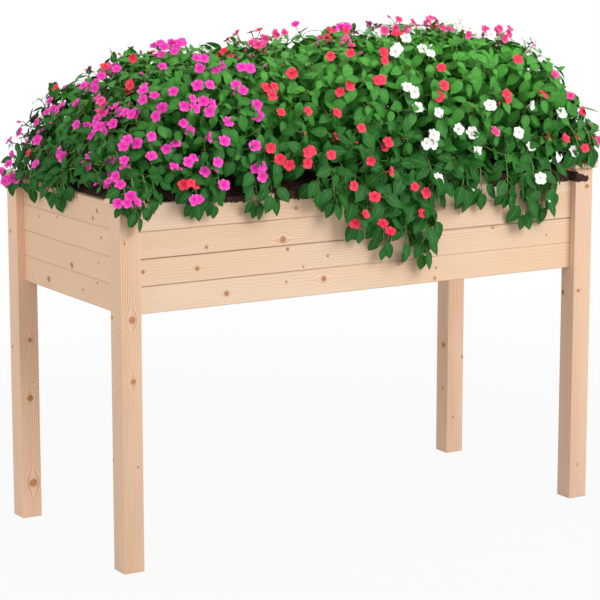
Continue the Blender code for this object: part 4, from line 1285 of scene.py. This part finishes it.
class RAISEDBED_OT_stems(bpy.types.Operator):
    """Grows the plants afresh from the settings, and makes each one's stem, limbs, shoots and stalks"""

    bl_idname = "raised_bed.stems"
    bl_label = "Stems"

    def execute(self, context):
        for grown in (grow, set_leaves, set_flowers):
            grown.cache_clear()
        add_stems()
        return {"FINISHED"}


class RAISEDBED_OT_leaves(bpy.types.Operator):
    """Sets each plant's leaves along its shoots"""

    bl_idname = "raised_bed.leaves"
    bl_label = "Leaves"

    def execute(self, context):
        add_leaves()
        return {"FINISHED"}


class RAISEDBED_OT_flowers(bpy.types.Operator):
    """Sets each plant's flowers, with their spurs and buds"""

    bl_idname = "raised_bed.flowers"
    bl_label = "Flowers"

    def execute(self, context):
        add_flowers()
        return {"FINISHED"}


class RAISEDBED_OT_stage(bpy.types.Operator):
    """Makes the floor, the lights, the plain light from all round and the camera"""

    bl_idname = "raised_bed.stage"
    bl_label = "Stage"

    def execute(self, context):
        make_stage(context.scene)
        return {"FINISHED"}


class RAISEDBED_PT_panel(bpy.types.Panel):
    """The bed's pieces and their settings"""

    bl_idname = "RAISEDBED_PT_panel"
    bl_label = "Raised Bed"
    bl_space_type = "VIEW_3D"
    bl_region_type = "UI"
    bl_category = "Raised Bed"

    def draw(self, context):
        for operator in OPERATORS:
            self.layout.operator(operator.bl_idname)
        for name, group in GROUPS.items():
            box = self.layout.box()
            box.label(text=name.capitalize())
            for key in group.__annotations__:
                box.prop(settings(name), key)


GROUPS = {
    "mound": MoundSettings,
    "shoots": ShootSettings,
    "leaves": LeafSettings,
    "flowers": FlowerSettings,
    "timber": TimberSettings,
    "soil": SoilSettings,
    "stage": StageSettings,
}
OPERATORS = [
    RAISEDBED_OT_timber,
    RAISEDBED_OT_floor,
    RAISEDBED_OT_liner,
    RAISEDBED_OT_compost,
    RAISEDBED_OT_stems,
    RAISEDBED_OT_leaves,
    RAISEDBED_OT_flowers,
    RAISEDBED_OT_stage,
]


# ---- pieces ----------------------------------------------------------------------------------
def dress(node, material):
    """Gives a CAD node this material in place of its own."""
    mesh = frame["nodes"][node].data
    mesh.materials.clear()
    mesh.materials.append(material)


def crust(x):
    """Where the compost that has spilt over the front lies at each x: the face of the wood, and its own
    foot and brow."""
    at_leg = x > LEGS_HIGH[0] - MIDDLE[0] - 0.046
    face = np.where(at_leg, LEGS_LOW[1] - MIDDLE[1], -OUTER_Y)
    foot = RIM - np.interp(x, *SPILL_DEPTH)
    brow = np.interp(x, *SPILL_BROW) + 0.0016 * at_leg * np.sin(420 * x)
    return face, foot, brow


def strewn_crumbs(rng, count):
    """Crumbs over the heap, a third of them near the long boards and one in sixteen on a board's top edge:
    their places and radii."""
    radius = CRUMB_LEAST + CRUMB_RANGE * rng.random(count) ** 3
    x = rng.uniform(-INNER_X + 0.004, INNER_X - 0.004, count)
    y = rng.uniform(-INNER_Y + 0.004, INNER_Y - 0.004, count)
    beside = np.arange(count) % 3 == 0
    y = np.where(beside, np.sign(y) * (INNER_Y - 0.004 - 0.05 * rng.random(count) ** 2), y)
    z = soil_height(x, y)
    on_rim = np.arange(count) % 16 == 1
    side = np.where(rng.random(count) < 0.75, -1, 1)
    y = np.where(on_rim, side * (INNER_Y + BOARD * rng.beta(1.2, 2.0, count)), y)
    radius = np.where(on_rim, radius * 0.75, radius)
    return x, y, np.where(on_rim, RIM + radius * 0.35, z), radius


def spilt_crumbs(rng, count):
    """Crumbs that cling to the front boards, further down towards the right, where they end in a slope
    beside and over the leg: their places and radii."""
    spills = np.array(SPILLS)
    room = (spills[:, 1] - spills[:, 0]) * np.interp(spills.mean(axis=1), [-0.36, 0.55], [0.010, 0.030])
    x = rng.uniform(*spills[rng.choice(len(spills), count, p=room / room.sum())].T)
    face, foot, brow = crust(x)
    beside_leg = (face == -OUTER_Y) & (x > spills[-1, 0])
    face = face - beside_leg * (-OUTER_Y - LEGS_LOW[1] + MIDDLE[1]) * rng.random(count)
    z = foot + (brow - foot) * rng.random(count)
    return x, face - 0.0010, z, rng.uniform(*SPILT_RADII, count)


def pebbles(rng, x, y, z, radius):
    """The corners and faces of crumbs: each is a ball of three rings, its corners at
    radius (1 + roughness), flattened and turned."""
    count, rings, sides = len(radius), 3, 6
    fall = math.pi * (np.arange(rings) + 1)[:, None] / (rings + 1)
    turn = 2 * math.pi * (np.arange(sides)[None] + 0.5 * (np.arange(rings) % 2)[:, None]) / sides
    ball = [np.sin(fall) * np.cos(turn), np.sin(fall) * np.sin(turn), np.cos(fall) + 0 * turn]
    ball = np.concatenate([[UP], np.stack(ball, axis=-1).reshape(-1, 3), [-UP]])
    points = ball * (1 + rng.uniform(-0.28, 0.28, (count, len(ball), 1))) * radius[:, None, None]
    flat = np.stack([np.ones(count), rng.uniform(0.6, 1.0, count), rng.uniform(0.5, 0.85, count)], axis=1)
    long, wide, high = np.moveaxis(points * flat[:, None], -1, 0)
    angle = rng.uniform(0, 2 * math.pi, count)[:, None]
    cos, sin = np.cos(angle), np.sin(angle)
    points = np.stack([long * cos - wide * sin, long * sin + wide * cos, high], axis=-1)
    points += np.stack([x, y, z + 0.15 * radius], axis=1)[:, None]
    index = 1 + np.arange(rings * sides).reshape(rings, sides)
    around = np.roll(index, -1, axis=1)
    top = np.stack([np.zeros(sides, int), index[0], around[0]], axis=-1)
    foot = np.stack([np.full(sides, len(ball) - 1), around[-1], index[-1]], axis=-1)
    walls = quads(index, True)[:, OTHER_WAY]
    return points.reshape(-1, 3), repeated(count, len(ball), [walls, np.concatenate([top, foot])])


def add_crumbs(finish):
    """Most crumbs lie on the heap, some on the boards' top edges, and a crust has spilt over the front."""
    soil = settings("soil")
    rng = np.random.default_rng(soil.seed)
    strewn, spilt = strewn_crumbs(rng, soil.crumbs), spilt_crumbs(rng, soil.spilt)
    points, faces = pebbles(rng, *(np.concatenate(both) for both in zip(strewn, spilt)))
    add_piece("compost_crumbs", points, faces, [finish])


def add_crust(finish):
    """Under the spilt crumbs lies a thin sheet that lips over the rim; its section has six corners."""
    spills = np.array(SPILLS)
    x = np.linspace(spills[:, 0], spills[:, 1], CRUST_COLUMNS, axis=1)
    face, foot, brow = crust(x)
    foot = foot + 0.0022 * np.sin(190 * x) * np.sin(83 * x + 1) + 0.001
    back, front = face + 0.0006, face - 0.0012
    on_top = brow > RIM
    lip = np.where(on_top, -INNER_Y - 0.0006, back + 0.0004)
    ledge = np.where(on_top, RIM - 0.0003, (foot + brow) / 2)
    corners = [(front, foot), (front, brow), (lip, brow), (lip, ledge), (back, ledge), (back, foot)]
    section = np.stack([np.stack([x, *corner], axis=-1) for corner in corners], axis=2)
    index = np.arange(section[..., 0].size).reshape(section.shape[:3])
    ends = np.concatenate([index[:, 0], index[:, -1, ::-1]])
    walls = quads(index, True)[:, OTHER_WAY]
    add_piece("compost_spilt", section.reshape(-1, 3), [walls, ends], [finish])


def add_stems():
    """A plant's stem tapers from its root to its fork; limbs leave it, shoots leave them, and each leaf and
    flower has its stalk. All are tubes along curves."""
    grown, leaves, shoots = grow(), set_leaves(), settings("shoots")
    finish = stem_finish()
    rings = 9
    t = np.linspace(0, 1, rings)[:, None]
    for number, name in enumerate(PLANTS):
        z = np.linspace(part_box(f"{name}_stem")[0][2], grown.ground[number][2] + 0.055, rings)
        bow = np.sin((z - z[0]) * 40 + number) * 0.0015
        trunk = np.stack([BASES[number][0] + bow, BASES[number][1] + 0.6 * bow, z], axis=1)[None]
        joints = 1 + 0.10 * np.cos(np.arange(rings) * math.pi)
        limbs = bezier(grown.limbs[number], t)[0]
        curves = clear_of_bed(bezier(grown.curves[grown.plant == number], t)[0], 0.003)
        parts = [
            tubes(trunk, (shoots.trunk * np.linspace(1.0, 0.72, rings) * joints)[None], 10),
            tubes(limbs, np.tile(np.linspace(*LIMB_RADII, rings), (len(limbs), 1)), 6),
            tubes(curves, np.tile(shoots.twig * np.linspace(1.0, 0.36, rings), (len(curves), 1)), 5),
        ]
        own = leaves.plant == number
        spot, base = leaves.spot[own], leaves.points[own][:, 0]
        length = np.linalg.norm(base - spot, axis=1)[:, None]
        bend = spot + (base - spot) * 0.5 + leaves.normal[own] * 0.12 * length
        parts.append(tubes(np.stack([spot, bend, base], axis=1), np.tile(LEAF_STALK, (own.sum(), 1)), 3))
        for heads in set_flowers():
            own = chosen(heads, heads.plant == number)
            gap = np.linalg.norm(own.centre - own.spot, axis=1)[:, None]
            end = own.centre - own.facing * 0.0015
            bends = own.spot + 0.35 * gap * own.ahead, end - 0.35 * gap * own.facing
            paths = bezier(np.stack([own.spot, *bends, end], axis=1), np.linspace(0, 1, 5)[:, None])[0]
            parts.append(tubes(paths, np.tile(FLOWER_STALK, (len(paths), 1)), 3))
        points, faces, tone = joined(parts)
        piece = add_piece(f"{name}_stems", points, faces, [finish], tone=tone)
        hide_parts(f"{name}_stem")


def add_leaves():
    """Each plant's leaves as one mesh."""
    leaves, finish = set_leaves(), leaf_finish()
    u, v = leaf_places()
    for number, name in enumerate(PLANTS):
        own = leaves.plant == number
        points = leaves.points[own].reshape(-1, 3)
        faces = repeated(own.sum(), len(u), leaf_faces())
        uv = np.tile(np.stack([u, v / 2 + 0.5], axis=1), (own.sum(), 1))
        tone = np.repeat(leaves.tone[own], len(u))
        piece = add_piece(f"{name}_leaves", points, faces, [finish], uv=uv, tone=tone)
        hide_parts(f"{name}_foliage")


def throats(own):
    """The eye of each flower, a small raised bead that closes its throat, and behind it a spur that curls
    down as it thins."""
    centre, facing, radius = own.centre[:, None], own.facing[:, None], own.radius[:, None, None]
    bead = centre + facing * radius * BEAD_PLACES[:, None]
    spur = [centre - facing * radius * back - UP * radius * down for back, down in SPUR]
    spur = bezier(np.concatenate(spur, axis=1), np.linspace(0, 1, 4)[:, None])[0]
    radius = radius[:, :, 0]
    return tubes(bead, radius * BEAD_RADII, 5), tubes(spur, radius * SPUR_RADII, 3)


def closed_buds(own):
    """Each bud, widest just above its stalk and pointed at its tip."""
    path = own.centre[:, None] + own.facing[:, None] * BUD_PLACES[:, None]
    return tubes(path, np.tile(BUD_RADII, (len(path), 1)), 5)


def add_flowers():
    """Each plant's flowers as one mesh: petals, eyes, spurs and buds, each in its flower's colour."""
    flowers, buds = set_flowers()
    tints = settings("flowers")
    finishes = [petal_finish(kind, getattr(tints, kind), *look) for kind, look in PETAL_LOOKS.items()]
    finishes.append(stem_finish())
    t, s, _ = petal_places()
    for number, name in enumerate(PLANTS):
        own, budding = chosen(flowers, flowers.plant == number), chosen(buds, buds.plant == number)
        count = len(own.points)
        bead, tail = throats(own)
        bud = closed_buds(budding)
        petals = repeated(count, len(t), petal_faces())
        extra, extra_faces, extra_tone = joined([bead, tail, bud])
        kinds = [(own.kind, [*petals, *bead.faces, *tail.faces]), (budding.kind, bud.faces)]
        kinds = [np.repeat(kind, len(f) // max(len(kind), 1)) for kind, faces in kinds for f in faces]
        uv = np.tile(np.stack([t, s / 2 + 0.5], axis=1), (count, 1))
        in_eye = np.full((len(bead.points), 2), 0.12)
        on_petal = np.full((len(extra) - len(bead.points), 2), 0.5)
        add_piece(
            f"{name}_flowers",
            np.concatenate([own.points.reshape(-1, 3), extra]),
            petals + [f + count * len(t) for f in extra_faces],
            finishes,
            uv=np.concatenate([uv, in_eye, on_petal]),
            tone=np.concatenate([np.repeat(own.tone, len(t)), extra_tone * 0.3]),
            material_of=np.concatenate(kinds),
        )


# ---- stage -----------------------------------------------------------------------------------
def soft_light(name, place, across, power):
    """A square light beside the bed's middle that looks at the planted box."""
    lamp = bpy.data.lights.new(name, "AREA")
    lamp.shape, lamp.size, lamp.size_y, lamp.energy = "RECTANGLE", across, across, power
    light = bpy.data.objects.new(name, lamp)
    light.location = MIDDLE + place
    way = Vector(MIDDLE + LIGHTS_AIM) - Vector(MIDDLE + place)
    light.rotation_euler = way.to_track_quat("-Z", "Y").to_euler()
    bpy.context.scene.collection.objects.link(light)


def add_floor(stage):
    """A plain floor. Light Path: what the camera, a gloss or a clear surface sees is mostly plain white,
    and fully so far out; all else meets a real floor."""
    corners = ((-1, -1), (1, -1), (1, 1), (-1, 1))
    mesh = bpy.data.meshes.new("floor")
    mesh.from_pydata([(x * FLOOR_REACH, y * FLOOR_REACH, -0.0004) for x, y in corners], [], [(0, 1, 2, 3)])
    floor = bpy.data.objects.new("floor", mesh)
    bpy.context.scene.collection.objects.link(floor)
    f = Finish("floor", 0.9, 0.1)
    speckle = f.band(f.noise(f.object_place(), 30.0), 0.3, 0.7, 0.0, 0.15)
    f.done(f.mix(speckle, stage.floor, linear(0.65, 0.65, 0.65)))
    path = f.add("LightPath", {}).node.outputs
    seen = f.math("MAXIMUM", path["Is Glossy Ray"], path["Is Transmission Ray"])
    seen = f.math("MAXIMUM", path["Is Camera Ray"], seen)
    far = f.vector("LENGTH", f.object_place(), output="Value")
    white = f.times(seen, f.band(far, 0.9, 3.2, 0.93, 1.0))
    both = f.add("MixShader", {0: white, 1: f.shader.outputs[0], 2: f.add("Emission", {})})
    f.give(f.tree.nodes["Material Output"].inputs["Surface"], both)
    mesh.materials.append(f.material)


def light_all_round(scene, stage):
    """A plain white world, which lights the bed at the strength that is set."""
    scene.world = bpy.data.worlds.new("plain_light")
    scene.world.use_nodes = True
    w = Wiring(scene.world.node_tree)
    path = w.add("LightPath", {}).node.outputs
    seen = w.math("MAXIMUM", path["Is Camera Ray"], path["Is Transmission Ray"])
    sky = w.tree.nodes["Background"]
    w.give(sky.inputs["Color"], (1, 1, 1))
    w.give(sky.inputs["Strength"], w.add("MapRange", {"Value": seen, "To Min": stage.sky, "To Max": 1.0}))


def make_stage(scene):
    """The floor, the light and the camera."""
    stage = settings("stage")
    add_floor(stage)
    light_all_round(scene, stage)
    soft_light("key", KEY_PLACE, KEY_WIDTH, stage.key)
    soft_light("fill", FILL_PLACE, FILL_WIDTH, stage.fill)
    lens = bpy.data.cameras.new("camera")
    lens.lens = stage.lens
    lens.sensor_width = 36.0
    lens.clip_end = 60.0
    camera = bpy.data.objects.new("camera", lens)
    camera.location = MIDDLE + CAMERA_PLACE
    camera.rotation_euler = (math.radians(90 - CAMERA_DOWN), 0.0, math.radians(-CAMERA_RIGHT))
    scene.collection.objects.link(camera)
    scene.camera = camera
    scene.view_settings.view_transform = "Standard"


# ---- register --------------------------------------------------------------------------------
CLASSES = [*GROUPS.values(), *OPERATORS, RAISEDBED_PT_panel]


def register():
    for cls in CLASSES:
        bpy.utils.register_class(cls)
    for name, group in GROUPS.items():
        setattr(bpy.types.Scene, f"raised_bed_{name}", PointerProperty(type=group))


def unregister():
    for name in GROUPS:
        delattr(bpy.types.Scene, f"raised_bed_{name}")
    for cls in reversed(CLASSES):
        bpy.utils.unregister_class(cls)


def main():
    register()
    for name in ("Cube", "Light", "Camera"):
        if name in bpy.data.objects:
            bpy.data.objects.remove(bpy.data.objects[name], do_unlink=True)
    bpy.ops.raised_bed.timber()
    bpy.ops.raised_bed.floor()
    bpy.ops.raised_bed.liner()
    bpy.ops.raised_bed.compost()
    bpy.ops.raised_bed.stems()
    bpy.ops.raised_bed.leaves()
    bpy.ops.raised_bed.flowers()
    bpy.ops.raised_bed.stage()
    bpy.context.view_layer.update()


if __name__ == "__main__":
    main()
